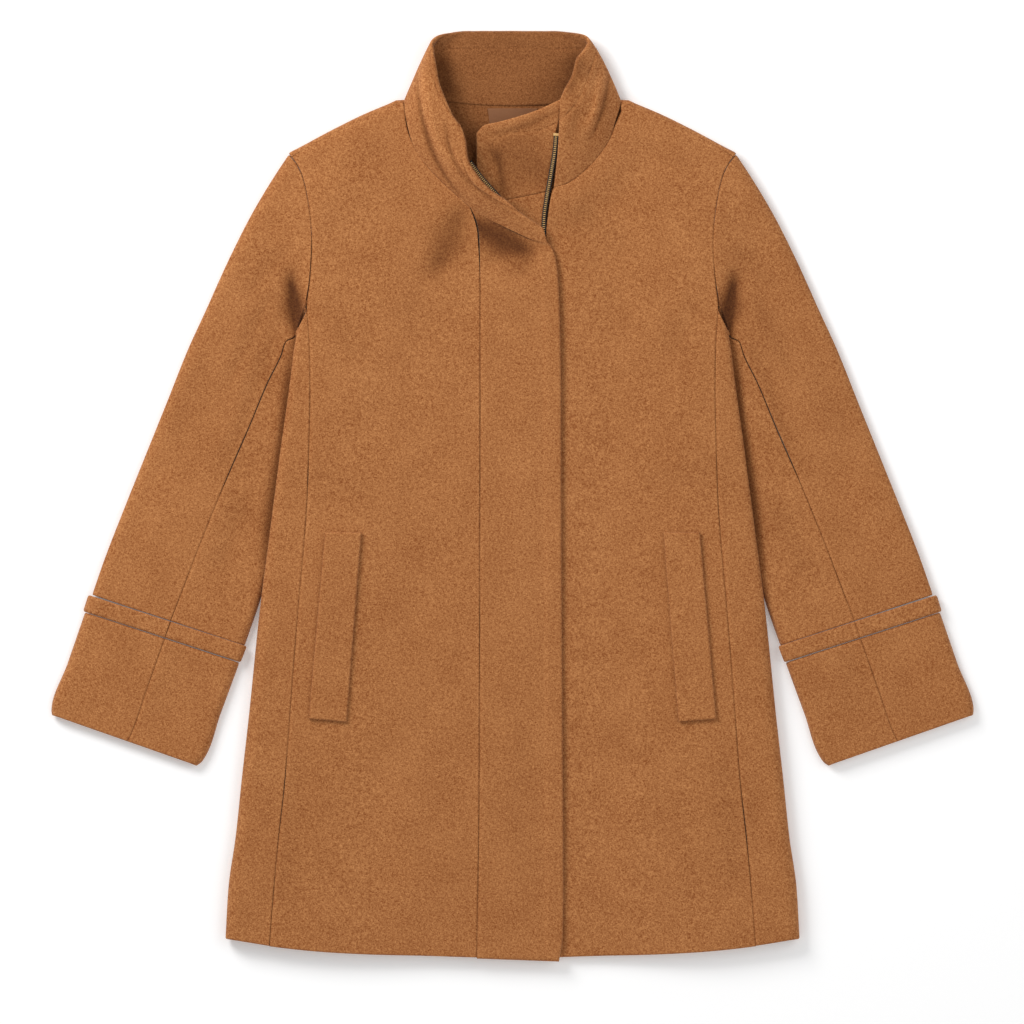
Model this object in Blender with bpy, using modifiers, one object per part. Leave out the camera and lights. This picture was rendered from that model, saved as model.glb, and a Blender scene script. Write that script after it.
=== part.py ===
"""A lady's wool coat with a stand-up collar, laid flat on its back.

The coat lies on z = 0 with its front facing up, its collar towards +Y and its wearer's right
at -X. Tables and sizes are in millimetres; meshes are made in metres. Every piece is the
middle surface of its cloth, given its thickness by a Solidify modifier.
"""

from collections import namedtuple
from math import cos, pi, sin, sqrt

import bmesh
import bpy
import numpy as np
from mathutils import Vector

MM = 0.001

# ---- driving sizes, mm ---------------------------------------------------------------------

CLOTH = 3.0            # melton with its backing
COLLAR_CLOTH = 2.6     # each of the collar's two layers
BAND_CLOTH = 4.4       # the cuff band is folded double
GUARD_CLOTH = 3.0
PLACKET_CLOTH = 4.4    # the placket is cloth and facing
FACING_CLOTH = 2.0
LABEL_CLOTH = 0.9
WELT_CLOTH = 3.6
SEAM = 0.2             # each piece stops this far short of the seam line
REST = 0.3             # clearance between layers that lie on each other

FLOOR_LAYER = CLOTH / 2            # middle of the layer that rests on the table
GUARD_LAYER = FLOOR_LAYER + (CLOTH + GUARD_CLOTH) / 2 + REST   # middle of the zip guard
TUCK_AIR = 2.0         # between the sleeve's two layers where the body lies on them
TUCK_LAYER = FLOOR_LAYER + CLOTH + TUCK_AIR   # middle of the sleeve's upper layer there
TUCK_LIFT = 2 * CLOTH + TUCK_AIR + REST       # how far it lifts the body's side
SIDE_HEIGHT = 14.6     # middle of the front's cloth along the side folds
RIGHT_HEIGHT = 11.2    # middle of the right front's cloth at the placket seam
LEFT_HEIGHT = 7.0      # middle of the left front's cloth at the middle of the coat
NECK_HEIGHT = 12.6     # middle of both fronts' cloth at the neck seam
SHOULDER_HEIGHT = 11.0
EDGE_ROLL = 12.0       # width of the rounding of a fold
FLOOR_ROLL = 7.0       # width of the rounding of a fold on the table side
SHOULDER_SEAM = 3.6    # the shoulder seam lies this far in front of the shoulder's fold
COLLAR_GAP = COLLAR_CLOTH / 2 + 0.6   # from the collar's core to either layer's middle

WOOL = (0.42, 0.22, 0.095, 1.0)
WOOL_DARK = (0.30, 0.15, 0.065, 1.0)
SATIN = (0.46, 0.27, 0.14, 1.0)
ZIP_BLACK = (0.02, 0.017, 0.015, 1.0)

# ---- tables, mm; half-widths from the middle line, heights up the coat -----------------------

Side = namedtuple("Side", "y edge")
SIDE_EDGE = [
    Side(-443, 286.0), Side(-428, 286.2), Side(-348, 276.6), Side(-284, 269.8), Side(-180, 258.3),
    Side(-139, 254.4), Side(-98, 250.0), Side(-64, 245.5), Side(0, 237.2), Side(60, 229.2),
    Side(126, 220.0), Side(140, 218.4), Side(155, 215.8), Side(171, 212.6),
]

Hem = namedtuple("Hem", "x drop")
HEM = [Hem(0, 462.0), Hem(35, 461.5), Hem(90, 459.8), Hem(143, 458.6), Hem(203, 455.0),
       Hem(243, 450.4), Hem(286, 443.4)]

# Sections of the side panel: where each starts on the front princess seam and on the back
# one, and the height at which it passes the side fold.
SideRow = namedtuple("SideRow", "front_x front_y edge_y back_x back_y roll")
SIDE_ROWS = [
    SideRow(243.2, -450, -443, 237.0, -451, 12.0),
    SideRow(239.0, -396, -392, 232.0, -397, 12.0),
    SideRow(234.0, -342, -340, 226.0, -342, 12.0),
    SideRow(227.6, -284, -284, 219.0, -284, 12.0),
    SideRow(222.6, -218, -218, 213.0, -218, 12.0),
    SideRow(217.3, -149, -149, 206.0, -149, 12.0),
    SideRow(213.1, -98, -98, 200.0, -98, 12.0),
    SideRow(208.6, -48, -48, 193.0, -48, 10.0),
    SideRow(205.3, 0, 0, 186.0, 0, 9.0),
    SideRow(203.6, 55, 55, 178.5, 55, 8.0),
    SideRow(202.6, 100, 100, 174.0, 100, 7.5),
    SideRow(202.7, 130, 128, 176.5, 130, 7.0),
    SideRow(203.3, 152, 144, 183.0, 150, 6.0),
    SideRow(204.4, 168, 154, 193.0, 168, 5.0),
    SideRow(205.8, 186.5, 167, 205.8, 186.5, 4.0),
]

# Rows of a front, each from its inner edge (placket or zip, then neck) to its outer edge
# (princess seam, then armhole).
FrontRow = namedtuple("FrontRow", "in_x in_y out_x out_y")
PRINCESS_Y_IN = [-461.5, -404, -345, -285, -218, -149, -98, -45, 5, 62, 112, 148, 178, 205, 232]
RIGHT_PLACKET_X = [35.7, 34.8, 33.9, 33.2, 33.0, 32.9, 32.8, 32.7, 32.6, 32.5, 32.4, 32.3, 32.3,
                   32.4, 33.0]
LEFT_ZIP_X = 34.2
RIGHT_UPPER = [
    FrontRow(34.9, 262, 202.6, 217), FrontRow(43.0, 290, 201.3, 236),
    FrontRow(56.0, 301.5, 200.6, 252), FrontRow(66.5, 311, 201.3, 270),
    FrontRow(79.0, 323.5, 203.4, 288), FrontRow(89.5, 336, 206.3, 305),
    FrontRow(99.1, 351.4, 210.5, 321), FrontRow(106.4, 371.6, 215.5, 331.5),
    FrontRow(109.8, 382.5, 217.6, 334.7), FrontRow(112.0, 387.0, 219.0, 336.7),
    FrontRow(115.0, 391.0, 220.6, 338.6),
]
LEFT_UPPER = [
    FrontRow(34.4, 262, 202.6, 217), FrontRow(38.2, 290, 201.3, 236),
    FrontRow(42.5, 308, 200.6, 252), FrontRow(55.0, 313, 201.3, 270),
    FrontRow(67.5, 322, 203.4, 288), FrontRow(83.5, 338, 206.3, 305),
    FrontRow(96.8, 356.8, 210.5, 321), FrontRow(104.3, 374.5, 215.5, 331.5),
    FrontRow(109.2, 383.0, 217.6, 334.7), FrontRow(111.8, 387.2, 219.0, 336.7),
    FrontRow(115.0, 391.0, 220.6, 338.6),
]

Shoulder = namedtuple("Shoulder", "x y")
SHOULDER = [Shoulder(100, 401.5), Shoulder(109.5, 397.5), Shoulder(150, 380.5),
            Shoulder(183, 364), Shoulder(208, 350.5), Shoulder(222, 341.8)]

# Sections of a sleeve from the armhole down: its outer and inner folds, where the front seam
# crosses it (0 at the outer fold, 1 at the inner one), the cloth's height in the middle and
# along the inner fold, and the inner fold's rounding.
SleeveRow = namedtuple("SleeveRow", "out_x out_y in_x in_y seam middle inner roll bow turn", defaults=[0.0])
SLEEVE_ROWS = [
    SleeveRow(223.0, 341.0, 209.6, 187.4, 0.900, 12.8, 11.5, 3.4, 1.00),
    SleeveRow(231.5, 328.5, 216.0, 178.0, 0.830, 12.0, 10.2, 3.4, 0.86, 6.5),
    SleeveRow(243.0, 310.5, 221.5, 167.0, 0.760, 11.0, 8.4, 3.4, 0.70, 8.5),
    SleeveRow(262.0, 278.0, 223.3, 153.5, 0.660, 9.8, TUCK_LAYER, 3.1, 0.45, 8.5),
    SleeveRow(284.5, 233.0, 213.0, 139.0, 0.560, 9.0, TUCK_LAYER, 3.1, 0.22, 6.0),
    SleeveRow(305.0, 187.5, 200.5, 120.0, 0.600, 8.6, TUCK_LAYER, 3.1, 0.08),
    SleeveRow(323.5, 147.0, 197.0, 93.0, 0.608, 8.4, TUCK_LAYER, 3.1, 0.0),
    SleeveRow(343.5, 97.0, 206.0, 50.0, 0.574, 8.4, TUCK_LAYER, 3.1, 0.0),
    SleeveRow(366.0, 41.0, 223.0, -4.0, 0.556, 8.4, TUCK_LAYER, 3.1, 0.0),
    SleeveRow(387.3, -12.0, 240.0, -60.0, 0.535, 8.4, TUCK_LAYER, 3.1, 0.0),
    SleeveRow(407.5, -64.0, 257.0, -114.0, 0.524, 8.4, 7.4, 4.5, 0.0),
    SleeveRow(419.6, -99.0, 269.2, -149.0, 0.516, 8.4, 8.2, 8.0, 0.0),
]
CUFF_ROWS = [
    SleeveRow(426.0, -116.9, 274.6, -166.4, 0.516, 8.4, 8.2, 11.0, 0.0),
    SleeveRow(443.4, -167.5, 293.0, -216.5, 0.517, 8.4, 8.2, 11.0, 0.0),
    SleeveRow(459.6, -214.5, 311.5, -264.5, 0.519, 8.4, 8.2, 11.0, 0.0),
    SleeveRow(459.0, -219.5, 317.5, -269.0, 0.519, 8.4, 8.2, 11.0, 0.0),
]
BAND_ROWS = [
    SleeveRow(422.1, -99.5, 266.7, -149.9, 0.516, 9.2, 9.0, 11.0, 0.0),
    SleeveRow(427.4, -115.9, 273.0, -166.0, 0.516, 9.2, 9.0, 11.0, 0.0),
]
BACK_SEAM = 0.45       # the sleeve's back seam, 0 at the outer fold and 1 at the inner one

# The collar's core, halfway between its two layers: its neck seam, the point that bends it and
# its top edge, from the front end round to the middle of the back.
CollarRow = namedtuple("CollarRow", "neck bend top")
CORE_FRONT = NECK_HEIGHT - COLLAR_GAP
RIGHT_COLLAR = [
    CollarRow((-35, 254, 11.6), (-33, 261, 14), (-30.5, 268.5, 15)),
    CollarRow((-20, 258, 11.2), (-15, 268, 15), (-10, 282.5, 19)),
    CollarRow((-3, 265.5, 11.0), (1, 278, 17), (5, 295.5, 22.5)),
    CollarRow((14, 274, 10.9), (18, 288, 19), (21, 306, 25.5)),
    CollarRow((30, 282.5, 10.8), (34, 298, 21), (33.5, 319, 28.5)),
    CollarRow((43, 290, 10.6), (46, 311, 23), (44, 336, 31)),
    CollarRow((56, 301.5, CORE_FRONT), (57, 330, 27), (47, 357, 33.5)),
    CollarRow((66.5, 311, CORE_FRONT), (66, 345, 28), (51, 369, 34)),
    CollarRow((79, 323.5, CORE_FRONT), (76, 358, 28), (59, 380.5, 34)),
    CollarRow((89.5, 336, CORE_FRONT), (87, 372, 27), (67, 397, 33.5)),
    CollarRow((98.5, 352, CORE_FRONT), (95, 388, 25), (73.5, 414, 32)),
    CollarRow((104.2, 372, 10.6), (101, 405, 22), (76.5, 431, 30)),
    CollarRow((106.4, 385.5, 9.8), (101, 416, 17.5), (75.5, 444, 26)),
    CollarRow((105.9, 393.5, 7.2), (96, 431, 14), (72.5, 453, 20)),
    CollarRow((101.8, 397.2, 4.8), (88, 444, 12), (64.5, 459.4, 13)),
    CollarRow((92.0, 397, 3.5), (78, 444, 6), (50, 463.2, 6.4)),
    CollarRow((66.0, 394, 3.35), (54, 430, 3.4), (33, 464.6, 4.2)),
    CollarRow((33.0, 391, 3.35), (26, 430, 3.35), (16, 465.0, 3.8)),
    CollarRow((0.0, 390, 3.35), (0, 430, 3.35), (0, 465.1, 3.7)),
]
LEFT_COLLAR = [
    CollarRow((42.5, 308, CORE_FRONT), (48.5, 348, 23), (48.5, 397, 30)),
    CollarRow((55.0, 313, CORE_FRONT), (56, 358, 26), (51, 404, 31)),
    CollarRow((67.5, 322, CORE_FRONT), (68, 368, 27), (55.5, 412, 31.5)),
    CollarRow((83.5, 338, CORE_FRONT), (82, 380, 26), (59.5, 420, 31)),
    CollarRow((96.1, 357.4, CORE_FRONT), (91, 394, 24), (62, 429, 30)),
    CollarRow((102.0, 375, 10.6), (93, 408, 20.5), (64.5, 438, 27)),
    CollarRow((105.8, 386.5, 9.6), (95, 419, 16), (66, 445.5, 22.5)),
    CollarRow((105.9, 393.5, 7.2), (92, 432, 13.5), (65, 453, 17.5)),
    CollarRow((101.8, 397.2, 4.8), (86, 443, 11.5), (58.5, 459.4, 12.2)),
    CollarRow((92.0, 397, 3.5), (76, 444, 6), (44, 463.2, 6.2)),
    CollarRow((66.0, 394, 3.35), (54, 430, 3.4), (27, 464.6, 4.1)),
    CollarRow((33.0, 391, 3.35), (26, 430, 3.35), (13, 465.0, 3.8)),
    CollarRow((0.0, 390, 3.35), (0, 430, 3.35), (0, 465.1, 3.7)),
]
COLLAR_STEPS = 5
NECK_CLEAR = 1.0       # the collar's neck edge, drawn up from the seam line

# The zip guard's collar end, from the zip to its free edge (x towards the wearer's left).
GuardRow = namedtuple("GuardRow", "neck top")
GUARD_COLLAR = [
    GuardRow((36.5, 305.5, 8.0), (39.5, 392.5, 27)),
    GuardRow((20.0, 301.5, 7.1), (22.0, 385.0, 26)),
    GuardRow((2.0, 298.0, 6.2), (3.0, 378.8, 24.5)),
    GuardRow((-15.0, 295.0, 5.5), (-14.0, 374.2, 22.5)),
    GuardRow((-29.0, 293.0, 5.0), (-28.0, 371.0, 20.5)),
    GuardRow((-36.5, 292.0, 4.9), (-36.0, 363.0, 18.5)),
]

# The placket's rows (x towards the wearer's left): its seam and its free edge.
PlacketRow = namedtuple("PlacketRow", "seam_x seam_y edge_x edge_y")
PLACKET_ROWS = [
    PlacketRow(-35.7, -462.6, 46.5, -465.6), PlacketRow(-35.3, -440, 50.4, -441),
    PlacketRow(-34.4, -375, 51.0, -375), PlacketRow(-33.2, -284, 50.4, -284),
    PlacketRow(-32.9, -149, 49.6, -149), PlacketRow(-32.6, -20, 49.0, -20),
    PlacketRow(-32.4, 96, 48.7, 96), PlacketRow(-32.3, 156, 48.0, 156),
    PlacketRow(-32.3, 199, 46.8, 197), PlacketRow(-33.0, 232, 45.4, 222),
    PlacketRow(-34.9, 262, 42.6, 240), PlacketRow(-38.5, 278, 39.5, 248),
    PlacketRow(-43.0, 290, 35.0, 254),
]

# The routes of the two zip halves (x towards the wearer's left).
ZIP_LEFT = [(44.0, 362, 0), (42.4, 345, 0), (38.6, 322, 0), (34.4, 298, 0), (31.6, 275, 0),
            (31.2, 250, 0), (31.2, 225, 0), (31.2, 60, 0), (31.2, -110, 0), (31.2, -280, 0),
            (31.2, -445, 0)]
ZIP_RIGHT = [(-43.0, 334.5, 22.0), (-32.5, 320.5, 19.5), (-22.0, 309.5, 17.0),
             (-9.0, 299.5, 14.5), (2.0, 290.0, 12.5), (12.0, 277.0, 9.6), (20.0, 260.0, 7.6),
             (24.6, 240.0, 7.2), (25.6, 222.0, 7.2), (25.6, 60, 7.2), (25.6, -110, 7.2),
             (25.6, -280, 7.2), (25.6, -445, 7.2)]
ZIP_WIDTH = 4.8
ZIP_CLOTH = 1.2

# A pocket welt's corners: upper outer, upper inner, lower inner, lower outer.
WELT = [(187.4, -36.2), (151.0, -36.4), (166.0, -226.0), (203.8, -223.0)]

NECK_SEAM_Y = 389.6    # where the inner collar meets the facing at the back
FACING_RADIUS = 78.0
LABEL_SIZE = (50.0, 34.0)

# ---- curves and small formulas ---------------------------------------------------------------


def ease(low, high, value):
    """0 below low, 1 above high, and a smooth S between."""
    part = min(1.0, max(0.0, (value - low) / (high - low)))
    return part * part * (3.0 - 2.0 * part)


def mix(start, end, part):
    return start + (end - start) * part


def read(rows, value):
    """A smooth curve through two-column rows, read at a value of the first column."""
    table = np.array(sorted(tuple(row) for row in rows), dtype=float)
    x, y = table[:, 0], table[:, 1]
    slope = np.gradient(y, x)
    i = int(np.clip(np.searchsorted(x, value) - 1, 0, len(x) - 2))
    step = x[i + 1] - x[i]
    s = min(1.0, max(0.0, (value - x[i]) / step))
    return ((2 * s**3 - 3 * s**2 + 1) * y[i] + (s**3 - 2 * s**2 + s) * step * slope[i]
            + (3 * s**2 - 2 * s**3) * y[i + 1] + (s**3 - s**2) * step * slope[i + 1])


def arc(depth, width):
    """Height, from 0 to 1, of a rounded edge at a depth inside it."""
    if depth >= width:
        return 1.0
    return sqrt(max(0.0, 1.0 - (1.0 - depth / width) ** 2))


def hem_drop(half):
    return -read(HEM, abs(half))


def shoulder_depth(half, y):
    """Distance down the front from the shoulder's fold."""
    return (read(SHOULDER, min(222.0, max(100.0, half))) - y) * cos(0.45)


def neck_nearness(half, y):
    """1 on the neck seam, 0 at 70 mm from it."""
    reach = sqrt((half / 1.05) ** 2 + (y - 397.0) ** 2)
    return 1.0 - ease(108.0, 150.0, reach)


def front_height(side, half, y):
    """Middle of a front's cloth above the table. side is -1 for the wearer's right."""
    middle = RIGHT_HEIGHT if side < 0 else mix(LEFT_HEIGHT - 1.2, LEFT_HEIGHT, ease(40, 66, half))
    height = mix(middle, SIDE_HEIGHT, ease(70.0, 205.0, half))
    height = mix(height, NECK_HEIGHT, neck_nearness(half, y))
    height = mix(height, SHOULDER_HEIGHT, ease(60.0, 0.0, shoulder_depth(half, y)) if half > 100
                 else 0.0)
    wave = 0.5 * sin(half / 31.0 + y / 57.0) * sin(y / 83.0) * ease(-462.0, -400.0, y)
    middle_of_roll = (height + FLOOR_LAYER) / 2
    rounding = arc(max(0.0, shoulder_depth(half, y)), EDGE_ROLL) if half > 95 and y > 320 else 1.0
    return middle_of_roll + (height - middle_of_roll) * rounding + wave * rounding


# ---- mesh helpers ----------------------------------------------------------------------------


def cloth_material(name, colour, roughness=0.9, metallic=0.0):
    material = bpy.data.materials.new(name)
    material.use_nodes = True
    shader = material.node_tree.nodes["Principled BSDF"]
    shader.inputs["Base Color"].default_value = colour
    shader.inputs["Roughness"].default_value = roughness
    shader.inputs["Metallic"].default_value = metallic
    material.diffuse_color = colour
    return material


def pull_in(rows, sides):
    """Move the named borders of a grid of points inwards by the seam's share."""
    grid = [[Vector(point) for point in row] for row in rows]
    if "first" in sides:
        grid[0] = [a + (b - a).normalized() * SEAM for a, b in zip(grid[0], grid[1])]
    if "last" in sides:
        grid[-1] = [a + (b - a).normalized() * SEAM for a, b in zip(grid[-1], grid[-2])]
    for row in grid:
        if "left" in sides:
            row[0] = row[0] + (row[1] - row[0]).normalized() * SEAM
        if "right" in sides:
            row[-1] = row[-1] + (row[-2] - row[-1]).normalized() * SEAM
    return grid


def piece(name, rows, thickness, material, collection, sides="first last left right", side=1):
    """One cut piece: a grid of points across the coat, thickened into cloth."""
    grid = pull_in(rows, sides.split())
    mesh = bpy.data.meshes.new(name)
    form = bmesh.new()
    made = [[form.verts.new((point.x * side * MM, point.y * MM, point.z * MM)) for point in row]
            for row in grid]
    for lower, upper in zip(made[:-1], made[1:]):
        for i in range(len(lower) - 1):
            form.faces.new((lower[i], lower[i + 1], upper[i + 1], upper[i]))
    bmesh.ops.recalc_face_normals(form, faces=form.faces)
    form.to_mesh(mesh)
    form.free()
    mesh.shade_smooth()
    mesh.materials.append(material)
    thing = bpy.data.objects.new(name, mesh)
    collection.objects.link(thing)
    shell = thing.modifiers.new("cloth", "SOLIDIFY")
    shell.thickness = thickness * MM
    shell.offset = 0.0
    shell.use_quality_normals = True
    return thing


# ---- the body ----------------------------------------------------------------------------------


def sleeve_inner_fold(y):
    """Half-width of the sleeve's inner fold where it lies under the body's side."""
    points = sorted((row.in_y, row.in_x) for row in SLEEVE_ROWS)
    return float(np.interp(y, [p[0] for p in points], [p[1] for p in points]))


TUCK_LEAD = 16.0       # the body is lifted this far above where the sleeve is tucked


def lifted(half, y):
    """Middle of the body's under layer: flat, but lifted where the sleeve lies under it."""
    present = ease(171.0, 150.0, y) * ease(-152.0, -100.0, y)
    fold = min(sleeve_inner_fold(y), sleeve_inner_fold(y - TUCK_LEAD))
    return FLOOR_LAYER + TUCK_LIFT * present * ease(fold - 17.0, fold - 5.0, half)


def front_rows(side):
    """Inner and outer ends of a front's rows, from the hem to the shoulder."""
    upper = RIGHT_UPPER if side < 0 else LEFT_UPPER
    rows = []
    for row, in_y, in_x in zip(SIDE_ROWS, PRINCESS_Y_IN, RIGHT_PLACKET_X):
        rows.append(FrontRow(in_x if side < 0 else LEFT_ZIP_X, in_y, row.front_x, row.front_y))
    return rows + upper


def front_grid(side, across=8):
    rows = []
    for row in front_rows(side):
        points = []
        for i in range(across + 1):
            part = i / across
            x = mix(row.in_x, row.out_x, part)
            y = mix(row.in_y, row.out_y, part)
            if y < -446.0:
                y = hem_drop(x)
            points.append((x, y, front_height(side, x, y)))
        rows.append(points)
    return rows


def side_section(row, side):
    """One section of a side panel, from the front seam round the fold to the back seam."""
    edge = read(SIDE_EDGE, row.edge_y)
    roll = row.roll
    inner = edge - roll
    points = []
    for i in range(4):
        part = i / 4
        x = mix(row.front_x, inner, part)
        y = mix(row.front_y, row.edge_y, (x - row.front_x) / (edge - row.front_x))
        points.append((x, y if y > -446 else max(y, hem_drop(x)), front_height(side, x, y)))
    top = front_height(side, inner, row.edge_y)
    bottom = lifted(edge - 3.0, row.edge_y)
    middle = (top + bottom) / 2
    for degrees in (90, 62, 31, 0):
        turn = degrees * pi / 180
        x = edge - roll * (1 - cos(turn))
        y = mix(row.front_y, row.edge_y, (x - row.front_x) / (edge - row.front_x))
        points.append((x, y, middle + (top - middle) * sin(turn)))
    floor_roll = min(FLOOR_ROLL, roll)
    for degrees in (38, 90):
        turn = degrees * pi / 180
        x = edge - floor_roll * (1 - cos(turn))
        points.append((x, row.edge_y, middle - (middle - bottom) * sin(turn)))
    start = edge - floor_roll
    for part in (0.2, 0.4, 0.6, 0.8, 1.0):
        x = mix(start, row.back_x, part)
        y = mix(row.edge_y, row.back_y, part)
        points.append((x, y, lifted(x, y)))
    return points


ARMHOLE_X = {341: 223.0, 331.5: 215.5, 321: 210.5, 305: 206.3, 288: 203.4, 270: 201.3,
             252: 200.6, 236: 201.3, 217: 202.6, 190: 206.5}


def armhole_x(y):
    heights = sorted(ARMHOLE_X)
    return float(np.interp(y, heights, [ARMHOLE_X[height] for height in heights]))


BACK_COLUMNS = [0.0, 0.15, 0.30, 0.41, 0.466, 0.526, 0.57, 0.67, 0.77, 0.87, 0.94, 1.0]
NECK_SHARE = 0.50      # columns nearer the middle than this end on the neck seam


def shoulder_fold(half):
    return read(SHOULDER, min(222.0, max(100.0, half)))


def back_neck(half):
    """The back's neck seam and its height: flat, rising where the collar turns up."""
    return mix(NECK_SEAM_Y, 391.6, ease(40.0, 100.0, half)), mix(FLOOR_LAYER, 2.4,
                                                                ease(90.0, 108.0, half))


def back_grid():
    """The back panel: flat on the table, its shoulders rolled up to the shoulder seams."""
    halves = BACK_COLUMNS
    rows = []
    body = [(row.back_x, row.back_y) for row in SIDE_ROWS]
    for (end_x, end_y), in_y in zip(body, PRINCESS_Y_IN):
        line = []
        for share in halves:
            x = end_x * share
            y = mix(in_y, end_y, share ** 2)
            line.append((x, y if y > -446.0 else hem_drop(x), FLOOR_LAYER))
        rows.append(line)
    upper = [(row.out_x, row.out_y) for row in RIGHT_UPPER[:8]]
    top_x = [share * 220.3 for share in halves]
    top_y = [(shoulder_fold(x) - EDGE_ROLL) if share > NECK_SHARE else back_neck(x)[0] - 12.0
             for x, share in zip(top_x, halves)]
    for end_x, end_y in upper:
        part = (end_y - 190.0) / (331.5 - 190.0)
        line = []
        for share, x_top, y_top in zip(halves, top_x, top_y):
            x = mix(share * 206.5, x_top, part) if share < 1 else end_x
            base = mix(232.0, 190.0, share ** 2)
            y = mix(base, y_top, part) if share < 1 else end_y
            line.append((x, y, FLOOR_LAYER))
        rows.append(line)
    for depth, degrees in ((FLOOR_ROLL, -90), (2.2, -43), (0.0, 0), (1.2, 0), (SHOULDER_SEAM, 0)):
        line = []
        for share, x in zip(halves, top_x):
            front = degrees == 0
            if share > NECK_SHARE:
                top = mix(front_height(-1, x, shoulder_fold(x) - 14.0), SHOULDER_HEIGHT, 0.5)
                middle = (top + FLOOR_LAYER) / 2
                y = shoulder_fold(x) - depth / cos(0.45)
                if front:
                    z = middle + (top - middle) * arc(depth, EDGE_ROLL)
                else:
                    z = middle + (middle - FLOOR_LAYER) * sin(degrees * pi / 180)
            else:
                y_neck, z_neck = back_neck(x)
                step = {FLOOR_ROLL: 8.0, 2.2: 5.5, 0.0: 3.5, 1.2: 1.7, SHOULDER_SEAM: 0.0}[depth]
                y = y_neck - step
                z = mix(FLOOR_LAYER, z_neck, ease(9.0, 0.0, step))
            if share == 1.0:
                x = armhole_x(y)
            line.append((x, y, z))
        rows.append(line)
    return [[(-x, y, z) for x, y, z in reversed(row[1:])] + row for row in rows]


# ---- the sleeves -------------------------------------------------------------------------------

ARMHOLE_Y = [321, 305, 288, 270, 252, 236, 217]
ARMHOLE_TOP, ARMHOLE_LOW = 341.0, 187.0
ARMHOLE_SHARES = [(ARMHOLE_TOP - y) / (ARMHOLE_TOP - ARMHOLE_LOW) for y in ARMHOLE_Y]
TURN_REACH = 0.35      # how far from the inner fold a section is bent to meet it squarely
ARMHOLE_GAP = (1.0, 0.4)   # the sleeve's top edge, moved clear of the body's


def armhole_offset(share):
    """How far the armhole's curve lies from the straight line between its ends."""
    first = SLEEVE_ROWS[0]
    heights = [ARMHOLE_TOP, 331.5] + ARMHOLE_Y + [190.0]
    xs = [(ARMHOLE_TOP - y) / (ARMHOLE_TOP - ARMHOLE_LOW) for y in heights]
    bends = [armhole_x(y) - mix(first.out_x, first.in_x, part) for y, part in zip(heights, xs)]
    return float(np.interp(share, xs + [1.0], bends + [0.0]))


def sleeve_top(row, share, side):
    """Middle of the sleeve's upper layer."""
    height = mix(row.middle, row.inner, ease(0.42, 0.86, share))
    if row.bow == 0.0:
        return height
    x, y = sleeve_place(row, share)
    weight = 1.0 if row.bow == 1.0 else row.bow ** 2 * (1.0 - ease(0.72, 0.97, share))
    return mix(height, front_height(side, x, min(y, 322.0)), weight)


def sleeve_place(row, share):
    near = min(1.0, (1.0 - share) / TURN_REACH)
    turned = row.turn * 6.75 * near * (1.0 - near) ** 2
    x = mix(row.out_x, row.in_x, share) + row.bow * armhole_offset(share) + turned
    y = mix(row.out_y, row.in_y, share)
    if row.bow == 1.0:
        return x + ARMHOLE_GAP[0], y + ARMHOLE_GAP[1]
    return x, y


def tube_section(row, side, floor, inner_side):
    """One section of a sleeve piece: round the inner fold, or round the outer one."""
    width = sqrt((row.out_x - row.in_x) ** 2 + (row.out_y - row.in_y) ** 2)
    scale = row.seam / SLEEVE_ROWS[0].seam
    points = []

    def add(share, z):
        points.append((*sleeve_place(row, share), z))

    if inner_side:
        roll = row.roll / width
        top = sleeve_top(row, 1.0 - roll, side)
        middle = (top + floor) / 2
        floor_roll = min(roll, FLOOR_ROLL / width)
        for part in (0.0, 0.33, 0.67):
            share = mix(row.seam, 1.0 - roll, part)
            add(share, sleeve_top(row, share, side))
        for degrees in (90, 60, 30, 0):
            turn = degrees * pi / 180
            add(1.0 - roll * (1 - cos(turn)), middle + (top - middle) * sin(turn))
        for degrees in (45, 90):
            turn = degrees * pi / 180
            add(1.0 - floor_roll * (1 - cos(turn)), middle - (middle - floor) * sin(turn))
        for share in reversed(ARMHOLE_SHARES[3:]):
            add(min(share, 1.0 - floor_roll - 0.012), floor)
        return points
    roll = EDGE_ROLL / width
    top = sleeve_top(row, roll, side)
    middle = (top + floor) / 2
    add(row.seam, sleeve_top(row, row.seam, side))
    for share in reversed(ARMHOLE_SHARES):
        add(max(share * scale, roll * 1.25), sleeve_top(row, max(share * scale, roll), side))
    for degrees in (90, 62, 31, 0):
        turn = degrees * pi / 180
        add(roll * (1 - cos(turn)), middle + (top - middle) * sin(turn))
    floor_roll = FLOOR_ROLL / width
    for degrees in (40, 90):
        turn = degrees * pi / 180
        add(floor_roll * (1 - cos(turn)), middle - (middle - floor) * sin(turn))
    for share in ARMHOLE_SHARES[:4]:
        add(share, floor)
    return points


def tube_piece(name, table, side, inner_side, thickness, material, collection):
    rows = [tube_section(row, side, thickness / 2, inner_side) for row in table]
    piece(name, rows, thickness, material, collection, side=side)


# ---- the collar --------------------------------------------------------------------------------


def collar_core(table, sign):
    """The collar's core surface, a row for each section, from the neck seam to the top edge."""
    rows = []
    for section in table:
        neck, bend, top = Vector(section.neck), Vector(section.bend), Vector(section.top)
        line = []
        for step in range(COLLAR_STEPS + 1):
            part = step / COLLAR_STEPS
            point = (neck * (1 - part) ** 2 + bend * 2 * part * (1 - part) + top * part ** 2)
            line.append(Vector((point.x * sign, point.y, point.z)))
        rows.append(line)
    return rows


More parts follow.
